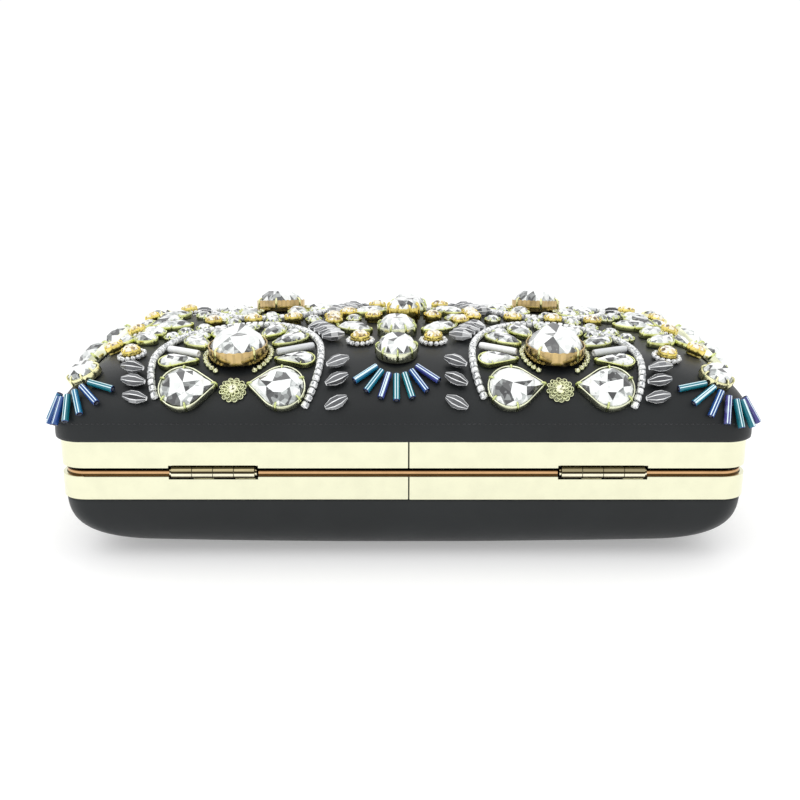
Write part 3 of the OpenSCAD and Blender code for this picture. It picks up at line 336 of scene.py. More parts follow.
def walls(rows, around, closed=False):
    """Faces between rows of points, and from the last row to the first if closed."""
    faces = []
    for k in range(rows if closed else rows - 1):
        a, b = k * around, (k + 1) % rows * around
        faces += [(a + i, a + (i + 1) % around, b + (i + 1) % around, b + i) for i in range(around)]
    return faces


def ends(rows, around):
    """Faces that close the first row of points and the last."""
    return [tuple(reversed(range(around))), tuple((rows - 1) * around + i for i in range(around))]


def lathe(profile, around, along, closed=False):
    """Points and faces of a profile of (radius, place along the axis), turned round an axis.
    around is a count, or a list of angles."""
    side = along.orthogonal().normalized()
    other = along.cross(side)
    turns = around
    if not isinstance(around, list):
        turns = [2 * math.pi * i / around for i in range(around)]
    points = [along * z + (side * math.cos(t) + other * math.sin(t)) * r
              for r, z in profile for t in turns]
    rows, around = len(profile), len(turns)
    return points, walls(rows, around, closed) + ([] if closed else ends(rows, around))


def ball(radii, rings, around):
    """A small ellipsoid."""
    turns = (math.pi * k / rings for k in range(1, rings))
    points, faces = lathe([(math.sin(a), -math.cos(a)) for a in turns], around, UP)
    return [Vector((p.x * radii[0], p.y * radii[1], p.z * radii[2])) for p in points], faces


# The domes
def plan_ring(inset, radius, cuts=14, sides=(34, 64)):
    """Points round a rounded rectangle with its corner arcs cut evenly."""
    ring = []
    for q in range(4):
        sx = 1 if q < 2 else -1
        sy = 1 if q in (1, 2) else -1
        middle = Vector((sx * (HALF_X - inset - radius), sy * (HALF_Y - inset - radius)))
        arc = [middle + radius * Vector((math.cos(a), math.sin(a)))
               for a in (math.pi / 2 * (q - 1 + i / cuts) for i in range(cuts + 1))]
        nx = 1 if (q + 1) % 4 < 2 else -1
        ny = 1 if (q + 1) % 4 in (1, 2) else -1
        a = math.pi / 2 * q
        following = Vector((nx * (HALF_X - inset - radius), ny * (HALF_Y - inset - radius))) \
            + radius * Vector((math.cos(a), math.sin(a)))
        count = sides[q % 2]
        ring += arc + [arc[-1].lerp(following, j / count) for j in range(1, count)]
    return ring


def shoulder(edge_in, edge_h, top_in, top_h, steps):
    """Rings of a rounded shoulder from its free edge up: (inset, height, corner radius)."""
    rings = []
    for k in range(steps + 1):
        a = math.pi / 2 * k / steps
        out = 1 - max(math.cos(a), 0) ** (2 / SHOULDER_POWER)
        rings.append((edge_in + (top_in - edge_in) * out,
                      edge_h + (top_h - edge_h) * max(math.sin(a), 0) ** (2 / SHOULDER_POWER),
                      (FRAME_CORNER - edge_in) * (1 - out) + SHOULDER_CORNER * out))
    return rings


def crown_rise(x, y):
    """How much higher the crown is at a place than at the edge."""
    return CROWN * max(0, 1 - (x / HALF_X) ** 2) * max(0, 1 - (y / HALF_Y) ** 2)


def dome_rows(rings, crown_rows, ceiling=1.0):
    """Rows of a dome as (ring, share of its size, ceiling), from the first ring up."""
    shares = [1 - (k / crown_rows) ** 1.2 for k in range(1, crown_rows)]
    return ([(ring, 1.0, ceiling) for ring in rings]
            + [(rings[-1], share, ceiling) for share in shares])


def dome(name, rows, direction, material, crumple, gathers=0.0, foot=0.0, **cutting):
    """A skin over the rows. direction is 1 for the lid, -1 for the base. Folds sink inwards."""
    points = []
    around = len(plan_ring(0, FRAME_CORNER, **cutting))
    for (inset, height, radius), share, ceiling in rows:
        near_foot = max(0.0, 1 - abs(height - foot - 2 * MM) / (9 * MM))
        for p in plan_ring(inset, radius, **cutting):
            x, y = p.x * share, p.y * share
            z = min(height + crown_rise(x, y), ceiling)
            cloud = 0.5 + 0.5 * noise.noise(Vector((x, y, z)) / (16 * MM))
            pleat = 0.5 + 0.5 * noise.noise(Vector((x * 1.3, y * 1.3, 0)) / (4 * MM))
            sink = crumple * cloud * (z < ceiling) + gathers * near_foot * pleat
            inward = Vector((x, y, 0)).normalized() * sink * (1 - share * 0.3)
            drawn = GAP_Z + direction * (z - 0.5 * sink)
            points.append(Vector((x - inward.x, y - inward.y, drawn)))
    first, last = ends(len(rows), around)
    faces = walls(len(rows), around) + [last] + ([first] if rows[0][1] < 1 else [])
    if direction < 0:
        faces = [tuple(reversed(f)) for f in faces]
    pile = Pile()
    pile.add(points, faces, 0.5, True)
    return pile.object(name, material)


def skirt(inset, height):
    """A ring of the straight part of a dome, below its shoulder."""
    return (inset, height, FRAME_CORNER - inset)


fold = 0.5 * LID_OVERHANG
hem = [skirt(2.0 * MM, LID_FOOT + 0.2 * MM), skirt(0.4 * MM, LID_FOOT)]
hem += [skirt(-LID_OVERHANG * math.sin(a), LID_FOOT + fold * (1 - math.cos(a)))
        for a in (math.pi / 2 * k / 5 for k in range(1, 5))]
lid_rings = shoulder(-LID_OVERHANG, LID_FOOT + 2 * fold, LID_SHOULDER_IN, LID_SHOULDER, 30)
lid_satin = dome("lid_satin", dome_rows(hem + lid_rings, 18), 1, SATIN,
                 crumple=0.16 * MM, gathers=0.25 * MM, foot=LID_FOOT)
put(lid_satin, "lid", "satin", "lid_cover")

base_edge = [skirt(2.0 * MM, BASE_FOOT), skirt(BASE_INSET + 0.2 * MM, BASE_FOOT)]
base_rings = shoulder(BASE_INSET, BASE_FOOT, BASE_SHOULDER_IN, BASE_SHOULDER, 30)
base_satin = dome("base_satin", dome_rows(base_edge + base_rings, 18, GAP_Z), -1, SATIN,
                  crumple=0.12 * MM, gathers=0.2 * MM, foot=BASE_FOOT)
put(base_satin, "base", "satin", "base_cover")

lid_tree = BVHTree.FromObject(lid_satin, bpy.context.evaluated_depsgraph_get())


# Linings, each a thin wall with a rolled edge
def lining(name, outer, inner, direction, ceiling):
    """A wall between two sets of rings, which both start at its free edge."""
    inset, foot, _ = outer[0]
    roll = [skirt(inset + LINING_WALL * share, foot - 0.15 * MM) for share in (0.25, 0.75)]
    rows = (list(reversed(dome_rows(outer, 14, ceiling)))
            + dome_rows(roll + inner, 14, ceiling - LINING_WALL))
    return dome(name, rows, direction, LINING, crumple=0.3 * MM, cuts=8, sides=(20, 36))


def cut_room(piece, low, high):
    """Cuts a block of room out of a piece."""
    corners = [(x, y, z) for x in (low.x, high.x) for y in (low.y, high.y) for z in (low.z, high.z)]
    sides = [(0, 1, 3, 2), (4, 6, 7, 5), (0, 4, 5, 1), (2, 3, 7, 6), (0, 2, 6, 4), (1, 5, 7, 3)]
    block = bpy.data.meshes.new("room")
    block.from_pydata(corners, [], sides)
    cutter = bpy.data.objects.new("room", block)
    bpy.context.scene.collection.objects.link(cutter)
    cut = piece.modifiers.new("room", "BOOLEAN")
    cut.operation = "DIFFERENCE"
    cut.solver = "EXACT"
    cut.object = cutter
    shown = piece.evaluated_get(bpy.context.evaluated_depsgraph_get())
    finished = bpy.data.meshes.new_from_object(shown)
    piece.modifiers.clear()
    piece.data = finished
    bpy.data.objects.remove(cutter)


lid_sides = [
    [skirt(LINING_EDGE + wall, LID_LINING_FOOT)]
    + shoulder(LINING_EDGE + wall, LID_FOOT, LID_SHOULDER_IN, LID_LINING_SHOULDER - wall, 20)
    for wall in (0, LINING_WALL)]
lid_lining = lining("lid_lining_cloth", *lid_sides, 1, 1.0)
put(lid_lining, "lid", "lining", "lid_lining")
base_sides = [
    [skirt(BASE_LINING_SKIRT + wall, height) for height in (BASE_LINING_FOOT, BASE_FOOT - GLUE)]
    + shoulder(LINING_EDGE + wall, BASE_FOOT + JOGGLE + wall, BASE_SHOULDER_IN,
               BASE_LINING_SHOULDER - wall, 20)
    for wall in (0, LINING_WALL)]
base_lining = lining("base_lining_cloth", *base_sides, -1, GAP_Z - BASE_LINING_FLOOR)
catch_low, catch_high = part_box("catch_box")
cut_room(base_lining, catch_low - Vector((0.3 * MM, MM, 0.6 * MM)),
         Vector((catch_high.x + 0.3 * MM, HALF_Y, GAP_Z)))
put(base_lining, "base", "lining", "base_lining")


def outward(place):
    """The lid's outward direction under a jewel."""
    return lid_tree.find_nearest(place)[1]


STITCH_INSET = -1.3 * MM
STITCH_HEIGHT = LID_FOOT + 5.6 * MM
STITCH_PITCH = 1.5 * MM
STITCH_LENGTH = 0.8 * MM
STITCH_RADIUS = 0.17 * MM
# A stitch's points as (place along it, height over the satin, thickness), the place as a share of
# its length and the others as shares of its radius
STITCH = [(t, 0.35 - 5.2 * t * t, thick)
          for t, thick in ((-0.5, 0.7), (-0.3, 1), (0, 1), (0.3, 1), (0.5, 0.7))]


def stitches():
    """A row of sunken stitches round the lid's satin."""
    pile = Pile()
    ring = [Vector((p.x, p.y, GAP_Z + STITCH_HEIGHT))
            for p in plan_ring(STITCH_INSET, FRAME_CORNER - STITCH_INSET)]
    run = 0.0
    for a, b in zip(ring, ring[1:] + ring[:1]):
        step = (b - a).length
        way = (b - a) / step
        while run < step:
            spot, out, *_ = lid_tree.find_nearest(a + way * run)
            along = (way - out * way.dot(out)).normalized()
            path = [spot + along * STITCH_LENGTH * t + out * STITCH_RADIUS * rise
                    for t, rise, _ in STITCH]
            pile.add(*tube(path, [thick * STITCH_RADIUS for *_, thick in STITCH], 6), 0.5, True)
            run += STITCH_PITCH
        run -= step
    put(pile.object("lid_stitches", THREAD), "lid", "satin")


# Solids of the CAD's jewels
class Seat:
    """Where a jewel sits: the middle of its back, z away from the satin and y along it."""

    def __init__(self, origin, along, up, width, length, height):
        self.z = up.normalized()
        self.y = (along - self.z * along.dot(self.z)).normalized()
        self.x = self.y.cross(self.z)
        self.origin, self.width, self.length, self.height = origin, width, length, height

    def at(self, x, y, z):
        return self.origin + self.x * x + self.y * y + self.z * z

    def place(self, points):
        return [self.at(*p) for p in points]


def solids(node):
    """The separate solids of a CAD node, each as its points, and its faces' normals and areas."""
    made = bmesh.new()
    made.from_mesh(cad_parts[node].data)
    bmesh.ops.remove_doubles(made, verts=made.verts, dist=0.001 * MM)
    seen, found = set(), []
    for start in made.verts:
        if start in seen:
            continue
        seen.add(start)
        group, ahead = [], [start]
        while ahead:
            v = ahead.pop()
            group.append(v)
            for e in v.link_edges:
                w = e.other_vert(v)
                if w not in seen:
                    seen.add(w)
                    ahead.append(w)
        faces = dict.fromkeys(f for v in group for f in v.link_faces)       # keeps their order
        found.append(([v.co.copy() for v in group],
                      [(f.normal.copy(), f.calc_area()) for f in faces]))
    made.free()
    return found


def extent(points, axis):
    """Where points begin and end along an axis."""
    reach = [p.dot(axis) for p in points]
    return min(reach), max(reach)


FACES_BACK = -0.8
SAME_PLANE = 0.9999


def flat_seats(node):
    """Seats of solids with a flat back. y runs towards the furthest point, such as a pear's tip."""
    seats = []
    for points, faces in solids(node):
        centre = sum(points, Vector()) / len(points)
        out = outward(centre)
        flats = []
        for normal, area in faces:
            if normal.dot(out) < FACES_BACK:
                same = next((f for f in flats if f[0].dot(normal) > SAME_PLANE), None)
                if same:
                    same[1] += area
                else:
                    flats.append([normal, area])
        up = -max(flats, key=lambda f: f[1])[0]
        middle = centre - up * centre.dot(up)
        tip = max(points, key=lambda p: ((p - up * p.dot(up)) - middle).length)
        along = (tip - up * tip.dot(up) - middle).normalized()
        side = along.cross(up)
        z0, z1 = extent(points, up)
        y0, y1 = extent(points, along)
        x0, x1 = extent(points, side)
        origin = up * z0 + along * (y0 + y1) / 2 + side * (x0 + x1) / 2
        seats.append(Seat(origin, along, up, x1 - x0, y1 - y0, z1 - z0))
    return seats


def long_seats(node):
    """Seats of beads that lie on the satin, with y along their bore. The origin is their middle."""
    seats = []
    for points, _ in solids(node):
        cloud = np.array([tuple(p) for p in points])
        centre = Vector(cloud.mean(0))
        along = Vector(np.linalg.eigh(np.cov((cloud - cloud.mean(0)).T))[1][:, 2])
        up = outward(centre)
        up = (up - along * up.dot(along)).normalized()
        side = along.cross(up)
        axes = (side, along, up)
        spans = [extent(points, a) for a in axes]
        origin = sum((a * (s[0] + s[1]) / 2 for a, s in zip(axes, spans)), Vector())
        seats.append(Seat(origin, along, up, *(s[1] - s[0] for s in spans)))
    return seats


# Outlines of cut stones
CUP_WALL = 0.4 * MM
CUP_CLEARANCE = 0.06 * MM
RIM = CUP_WALL + CUP_CLEARANCE
TINY = 1e-12
NEAR = 0.004


class Outline:
    """A closed curve round a stone, from its tip on the +Y side, with outward directions."""

    def __init__(self, points):
        self.points = [Vector(p) for p in points]
        self.steps = [0.0]
        for a, b in zip(self.points, self.points[1:] + self.points[:1]):
            self.steps.append(self.steps[-1] + (b - a).length)

    def at(self, share):
        """The point at a share of the way round."""
        run = share % 1 * self.steps[-1]
        k = max(i for i, s in enumerate(self.steps[:-1]) if s <= run + TINY)
        a, b = self.points[k], self.points[(k + 1) % len(self.points)]
        return a.lerp(b, (run - self.steps[k]) / max(self.steps[k + 1] - self.steps[k], TINY))

    def normal(self, share):
        way = self.at(share + NEAR) - self.at(share - NEAR)
        return Vector((way.y, -way.x)).normalized()

    def grown(self, share, by):
        return self.at(share) + self.normal(share) * by


def round_outline(width):
    steps = 64
    return Outline([(-width / 2 * math.sin(a), width / 2 * math.cos(a))
                    for a in (2 * math.pi * i / steps for i in range(steps))])


def pear_outline(width, length):
    """A round foot with two straight sides that touch it and meet in the tip."""
    r = width / 2
    slope = math.asin(r / (length - r))
    steps = 48
    turn = [math.pi - slope + (math.pi + 2 * slope) * i / steps for i in range(steps + 1)]
    foot = [(r * math.cos(a), r - length / 2 + r * math.sin(a)) for a in turn]
    return Outline([(0, length / 2)] + foot)


def navette_outline(width, length):
    """Two equal arcs that meet in two tips."""
    r = (width ** 2 + length ** 2) / (4 * width)
    half = math.asin(length / 2 / r)
    steps = 20
    right = [(r * math.cos(a) - r + width / 2, r * math.sin(a))
             for a in (-half + 2 * half * i / steps for i in range(steps))]
    left = [(-x, -y) for x, y in right]
    return Outline([(0, length / 2)] + left[1:] + right)


def stone_in(seat, kind):
    """The seat and the outline of the stone that a cup holds, worked out from the cup's seat."""
    width = seat.width - 2 * RIM
    if kind == "pear":
        length = seat.length * width / seat.width
        shift = -seat.length / 2 + RIM + length / 2
        outline = pear_outline(width, length)
    elif kind == "navette":
        r = ((seat.length / 2) ** 2 / (width / 2 + RIM) - RIM + width / 2) / 2
        length = 2 * math.sqrt(r ** 2 - (r - width / 2) ** 2)
        shift = 0
        outline = navette_outline(width, length)
    else:
        length, shift = width, 0
        outline = round_outline(width)
    held = Seat(seat.at(0, shift, 0), seat.y, seat.z, width, length, seat.height)
    return held, outline


# Shapes of a cut stone: the sizes of its foot and table as shares of its outline, the heights of
# the girdle's two edges as shares of its height, and the crown's size and height.
FANCY_CUT = {"foot": 0.72, "girdle": (0.32, 0.42), "crown": (0.84, 0.76), "table": 0.56}
ROUND_CUT = {"foot": 0.62, "girdle": (0.35, 0.48), "crown": (0.82, 0.80), "table": 0.58}


def cut_stone(pile, seat, outline, height, corners, cut, chance, floor=RIM, dark=0.3):
    """A brilliant-cut stone. Each facet gets a tone that paints the reflection a foiled stone shows
    there.
    """
    low, high = (g * height for g in cut["girdle"])
    turn = 0.5 / corners
    centre = Vector((0, -0.12 * (seat.length - seat.width)))

    def ring(count, shift, scale, z):
        return [(*(centre + (outline.at(i / count + shift) - centre) * scale), floor + z)
                for i in range(count)]

    crown_scale, crown_height = cut["crown"]
    rows = [ring(corners, 0, cut["foot"], 0), ring(2 * corners, 0, 1, low),
            ring(2 * corners, 0, 1, high), ring(corners, turn, crown_scale, crown_height * height),
            ring(corners, 0, cut["table"], height)]
    keel = (centre.x, centre.y + 0.08 * seat.length * chance.uniform(-1, 1), floor + height * 0.96)
    points = [p for row in rows for p in row] + [keel]
    first = [0]
    for row in rows:
        first.append(first[-1] + len(row))
    f, g, h, c, t, k = first        # foot, girdle's lower and higher edge, crown, table, keel
    n, nn = corners, 2 * corners
    lean = chance.uniform(0, 2 * math.pi)
    shade_start = chance.randrange(n)
    shaded = {(shade_start + i) % n for i in range(2)} | {(shade_start + n // 2) % n}
    faces, tones = [], []

    def facet(face, tone):
        faces.append(face)
        tones.append(tone)

    def edge_tone():
        return chance.uniform(0.45, 0.9)

    # Painted reflections: crown facets turned towards the lean are bright, those turned away dark.
    def crown_tone(angle):
        spread = 0.5 + 0.3 * math.cos(angle - lean) + chance.uniform(-0.3, 0.3)
        if spread < dark:
            return chance.uniform(0.05, 0.3)
        if spread < dark + 0.16:
            return chance.uniform(0.45, 0.65)
        return chance.uniform(0.75, 1.0)

    def table_tone(i):
        return chance.uniform(0.0, 0.18) if i in shaded else chance.uniform(0.86, 1.0)

    for i in range(n):
        j = (i + 1) % n
        a = 2 * math.pi * i / n
        facet((f + i, g + (2 * i + nn - 1) % nn, g + 2 * i), edge_tone())
        facet((f + i, g + 2 * i, g + 2 * i + 1), edge_tone())
        facet((f + i, g + 2 * i + 1, f + j), edge_tone())
        for q in (2 * i, 2 * i + 1):
            facet((g + q, h + q, h + (q + 1) % nn, g + (q + 1) % nn), edge_tone())
        facet((h + 2 * i, c + i, h + 2 * i + 1), crown_tone(a))
        facet((h + 2 * i + 1, c + i, h + (2 * i + 2) % nn), crown_tone(a + 0.4))
        facet((h + 2 * i, c + (i + n - 1) % n, t + i, c + i), crown_tone(a + 1.9))
        facet((c + i, t + i, t + j), crown_tone(a + 3.1))
        facet((t + i, k, t + j), table_tone(i))
    faces = [tuple(reversed(face)) for face in faces] + [tuple(range(f, f + n))]
    tones.append(0.3)
    pile.add(seat.place(points), faces, tones)


def cup(pile, seat, outline, height, around, teeth=0, tooth=0.0, lift=0.0):
    """A metal cup round a stone, with a rolled rim, and with a notched edge or a gallery below it
    where these are asked for."""
    gallery = [(0, 0), (0.06 * MM, 0.1 * MM), (0, 0.4 * lift), (0, lift - 0.1 * MM)] if lift else []
    wall = gallery + [
        (RIM - 0.06 * MM, lift), (RIM, lift + 0.08 * MM), (RIM, (lift + height) / 2),
        (RIM, height - 0.16 * MM), (RIM - 0.05 * MM, height - 0.05 * MM), (RIM - 0.15 * MM, height),
        (CUP_CLEARANCE + 0.1 * MM, height), (CUP_CLEARANCE, height - 0.1 * MM),
        (CUP_CLEARANCE, lift + CUP_WALL)]
    deep = len(gallery)

    def notch(i):
        """The cosine of how far a place on the edge is from the middle of a notch."""
        return math.cos(2 * math.pi * teeth * (i / around))

    points, tones = [], []
    for out, z in wall:
        for i in range(around):
            rise = tooth * (0.5 - 0.5 * notch(i)) if teeth and z > 0.6 * height else 0
            p = outline.grown(i / around, out)
            points.append((p.x, p.y, z + rise))
    # Painted shade: the foot on the satin, the inside against the stone and the flutes get dark
    # tones.
    for k in range(len(wall) - 1):
        for i in range(around):
            groove = teeth and k - deep in (1, 2) and notch(i + 0.5) > 0.6
            tones.append(0.62 if groove else 0.85 if k <= deep or k - deep > 6 else 0.5)
    faces = walls(len(wall), around) + ends(len(wall), around)
    faces = [tuple(reversed(face)) for face in faces]
    pile.add(seat.place(points), faces, tones + [0.9, 0.9], True)


def tube(path, radii, sides=7):
    """A closed tube along a path, with a radius at each point."""
    points = []
    side = None
    for i, p in enumerate(path):
        way = (path[min(i + 1, len(path) - 1)] - path[max(i - 1, 0)]).normalized()
        side = (way.orthogonal() if side is None else side - way * side.dot(way)).normalized()
        other = way.cross(side)
        points += [p + (side * math.cos(a) + other * math.sin(a)) * radii[i]
                   for a in (2 * math.pi * k / sides for k in range(sides))]
    return points, walls(len(path), sides) + ends(len(path), sides)


def prong(pile, seat, outline, share, cup_top, stone_top, size, tone=0.5):
    """A small claw that stands at the cup and bends over the edge of the stone."""
    out, inner = outline.grown(share, RIM - 0.1 * MM), outline.grown(share, -2.2 * size)
    steps = 5
    path = [seat.at(out.x, out.y, 0.2 * cup_top), seat.at(out.x, out.y, cup_top)]
    for k in range(1, steps):
        a = math.pi / 2 * k / (steps - 1)
        p = out.lerp(inner, 1 - math.cos(a))
        path.append(seat.at(p.x, p.y, cup_top + (stone_top - cup_top) * math.sin(a)))
    radii = [size, size] + [size * (1 - 0.1 * k) for k in range(1, steps - 1)] + [0.45 * size]
    pile.add(*tube(path, radii), tone, True)


def evenly(count):
    """Claws spaced evenly, as shares of the way round."""
    return [i / count for i in range(count)]


def set_stones(name, cups, kind, corners, cut, gold, glass, slots, prongs, size, share_of_cup=0.5,
               teeth=0, tooth=0.0, dark=0.3, around=48, lift=0.0):
    """Cut stones in cups, one piece for the stones and one for the cups of a pair of nodes. The cup
    is share_of_cup as high as the stone, and size is the radius of its prongs."""
    stones, metal = Pile(), Pile()
    chance = random.Random(name)
    for seat in flat_seats(cups):
        held, outline = stone_in(seat, kind)
        height = (seat.height - CUP_WALL - lift) / share_of_cup
        cut_stone(stones, held, outline, height, corners, cut, chance, RIM + lift, dark)
        cup(metal, held, outline, seat.height, around, teeth, tooth, lift)
        top = RIM + lift + height * (cut["girdle"][1] + 0.2)
        for share in prongs:
            prong(metal, held, outline, share, seat.height, max(top, seat.height + size), size, 0.0)
    put(stones.object(name + "_cut", glass), "lid", slots[1], name)
    put(metal.object(cups + "_set", gold), "lid", slots[0], cups)


# Heights of the galleries, and shares that give a round stone its height and its depth in the cup
STUD_LIFT = 1.2 * MM
MEDALLION_LIFT = 2.5 * MM
ROUND_HEIGHT = 0.46
CRYSTAL_SHARE = 0.42
ROUND_IN_CUP = CRYSTAL_SHARE * 0.5 / ROUND_HEIGHT
PALE_SLOTS = ("pale_gold", "clear_crystal")
GREEN_SLOTS = ("green_gold", "clear_crystal")

set_stones("drop_crystals", "drop_cups", "pear", 11, FANCY_CUT, BROWN_GOLD, CLEAR,
           ("brown_gold", "clear_crystal"), evenly(5), 0.42 * MM,
           teeth=26, tooth=0.2 * MM, around=156)
set_stones("pear_crystals", "pear_cups", "pear", 9, FANCY_CUT, SILVERED, CLEAR, PALE_SLOTS,
           (0, 0.25, 0.42, 0.58, 0.75), 0.42 * MM)
set_stones("side_drop_crystals", "side_drop_cups", "pear", 7, FANCY_CUT, GREEN_GOLD, CLEAR,
           GREEN_SLOTS, (0, 0.3, 0.7), 0.26 * MM)
set_stones("navette_crystals", "navette_cups", "navette", 8, FANCY_CUT, GREEN_GOLD, CLEAR,
           GREEN_SLOTS, evenly(4), 0.26 * MM)
set_stones("fan_gems", "fan_gem_cups", "round", 10, ROUND_CUT, SILVERED, CLEAR, PALE_SLOTS,
           evenly(8), 0.34 * MM, ROUND_IN_CUP)
set_stones("corner_gems", "corner_gem_cups", "round", 9, ROUND_CUT, LIGHT_GOLD, CLEAR, PALE_SLOTS,
           evenly(8), 0.34 * MM, ROUND_IN_CUP)
set_stones("amber_stones", "amber_stone_cups", "round", 8, ROUND_CUT, YELLOW_GOLD, AMBER,
           ("yellow_gold", "amber_glass"), evenly(6), 0.28 * MM, ROUND_IN_CUP, dark=0.2,
           lift=STUD_LIFT)
set_stones("round_crystals", "round_crystal_cups", "round", 8, ROUND_CUT, SILVERED, CLEAR,
           PALE_SLOTS, evenly(6), 0.26 * MM, ROUND_IN_CUP)


def medallion():
    """The stone on the middle of the crown, in its high cup with long claws."""
    stones, metal = Pile(), Pile()
    chance = random.Random("medallion")
    for seat in flat_seats("medallion_stone"):
        outline = round_outline(seat.width)
        held = Seat(seat.at(0, 0, -RIM - MEDALLION_LIFT), seat.y, seat.z, seat.width, seat.width,
                    seat.height)
        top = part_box("medallion_cup")[1].z - held.origin.z
        cut_stone(stones, held, outline, seat.height, 10, ROUND_CUT, chance, RIM + MEDALLION_LIFT)
        cup(metal, held, outline, top - CUP_WALL, 96, 24, 0.3 * MM, MEDALLION_LIFT)
        for share in evenly(8):
            prong(metal, held, outline, share, top, top + 0.9 * MM, 0.45 * MM)
    put(stones.object("medallion_stone_cut", CLEAR), "lid", "clear_crystal", "medallion_stone")
    put(metal.object("medallion_cup_set", YELLOW_GOLD), "lid", "yellow_gold", "medallion_cup")


# Layers of a rosette's loops: count, inner and outer reach, half width, and heights in and out.
ROSE_LAYERS = ((12, 0.62, 1.08, 0.2, 0.7, 0.8), (10, 0.42, 0.9, 0.2, 1.25, 1.3),
               (8, 0.24, 0.66, 0.17, 1.8, 1.8), (5, 0.1, 0.42, 0.14, 2.3, 2.1))


def rosettes():
    """Roses of looped wire round a small stone."""
    stones, metal = Pile(), Pile()
    chance = random.Random("rosettes")
    for seat in flat_seats("rosettes"):
        bead = seat.width / 6.2 / 2
        rim = seat.width / 2 - bead
        held = Seat(seat.origin, seat.y, seat.z, seat.width / 3, seat.width / 3, seat.height)
        cut_stone(stones, held, round_outline(held.width), ROUND_HEIGHT * held.width, 7, ROUND_CUT,
                  chance, floor=seat.height * 0.55, dark=0.2)
        plate = [(r * rim, z * bead)
                 for r, z in ((0.2, 0.1), (0.95, 0.1), (1, 0.35), (0.95, 0.6), (0.6, 0.8),
                              (0.35, 1.5), (0.2, 1.2))]
        disc, faces = lathe(plate, 36, UP)
        # The plate's high tone darkens it, painted shade seen between the wire loops.
        metal.add(seat.place(disc), faces, 0.95, True)
        for count, low, high, wide, z_in, z_out in ROSE_LAYERS:
            start = chance.uniform(0, 2 * math.pi)
            for k in range(count):
                turn = start + 2 * math.pi * (k + chance.uniform(-0.12, 0.12)) / count
                out = Vector((math.cos(turn), math.sin(turn), 0))
                across = Vector((-out.y, out.x, 0))
                lift = chance.uniform(-0.12, 0.12)
                loop = []
                for b in (2 * math.pi * i / 10 for i in range(11)):
                    far = 0.5 - 0.5 * math.cos(b)
                    spread = wide * math.sin(b) * (0.6 + 0.5 * far)
                    rise = z_in + (z_out - z_in) * far + lift + 0.2 * math.sin(b)
                    reach = low + (high - low) * far
                    loop.append(rim * (out * reach + across * spread) + UP * bead * rise)
                wire, wire_faces = tube(seat.place(loop), [0.23 * bead] * len(loop), 6)
                metal.add(wire, wire_faces, chance.choice((0.5, 0.5, 0.6)), True)
    put(stones.object("rosette_stones", GREEN_TINT), "lid", "clear_crystal", "rosette_crystals")
    put(metal.object("rosette_wires", LIGHT_GREEN_GOLD), "lid", "green_gold", "rosettes")


def stone_chains():
    """Tiny stones, each in its own claw cup, in rows beside the drops."""
    stones, metal = Pile(), Pile()
    chance = random.Random("chains")
    for seat in flat_seats("drop_stone_chains"):
        r = seat.width / 2
        rise = 0.5 * seat.width
        wall = [(0.72 * r, 0), (0.95 * r, 0.3 * rise), (r, 0.9 * rise), (0.88 * r, 1.05 * rise),
                (0.7 * r, 0.9 * rise)]
        body, faces = lathe(wall, 12, UP)
        metal.add(seat.place(body), faces, 0.5, True)
        claw, claw_faces = ball((0.2 * r, 0.2 * r, 0.4 * r), 4, 6)
        for k in range(4):
            a = math.pi / 4 + math.pi / 2 * k
            way = Vector((math.cos(a), math.sin(a), 0))
            metal.add(seat.place([p + way * 0.8 * r + UP * 1.15 * rise for p in claw]), claw_faces,
                      0.5, True)
        gem, cuts = lathe([(0.78 * r, 0.85 * rise), (0.8 * r, rise),
                           (0.45 * r, seat.height - 0.1 * rise),
                           (0.05 * r, seat.height - 0.08 * rise)], 8, UP)
        stones.add(seat.place(gem), cuts, [chance.choice((0.1, 0.6, 0.9, 1.0)) for _ in cuts])
    put(metal.object("chain_cups", LIGHT_GREEN_GOLD), "lid", "yellow_gold", "drop_stone_chains")
    put(stones.object("chain_stones", GREEN_TINT), "lid", "clear_crystal")


def bead_row(name, node, material, slot, around, profile, tones, facet=False):
    """Lathed beads on their seats. The profile is (radius, place) in shares of the half sizes."""
    pile = Pile()
    chance = random.Random(name)
    bore = Vector((0, 1, 0))
    for seat in long_seats(node):
        r, half = min(seat.width, seat.height) / 2, seat.length / 2
        points, faces = lathe([(a * r, b * half) for a, b in profile], around, bore, closed=True)
        rows = len(profile)
        pile.add(seat.place(points), faces, tones(rows, len(faces) // rows, chance), not facet)
    put(pile.object(name, material), "lid", slot, node)


def round_profile(bore, round_share, steps=3):
    """Half sections of a bead with a bore and rounded ends, as a closed profile."""
    flat = 1 - round_share
    outer = [(flat + round_share * math.cos(a), flat + round_share * math.sin(a))
             for a in (math.pi / 2 * k / steps for k in range(steps + 1))]
    return [(r, -z) for r, z in reversed(outer)] + outer + [(bore, 0.96), (bore, -0.96)]


def streaks(rows, around, chance):
    """Tones of a lined tube: painted highlight streaks along its top and its back, and dark ends.
    """
    own = chance.choice((0.2, 0.22, 0.3, 0.42, 0.55, 0.66, 0.75))
    lit = chance.choice(((7, 10), (7, 10), (7, 8, 10), (7, 9, 10)))
    tones = []
    for k in range(rows):
        for i in range(around):
            streak = 1.0 if i % 12 in lit else own
            tones.append(0.0 if k > rows - 4 else 0.6 if k in (0, rows - 4) else streak)
    return tones


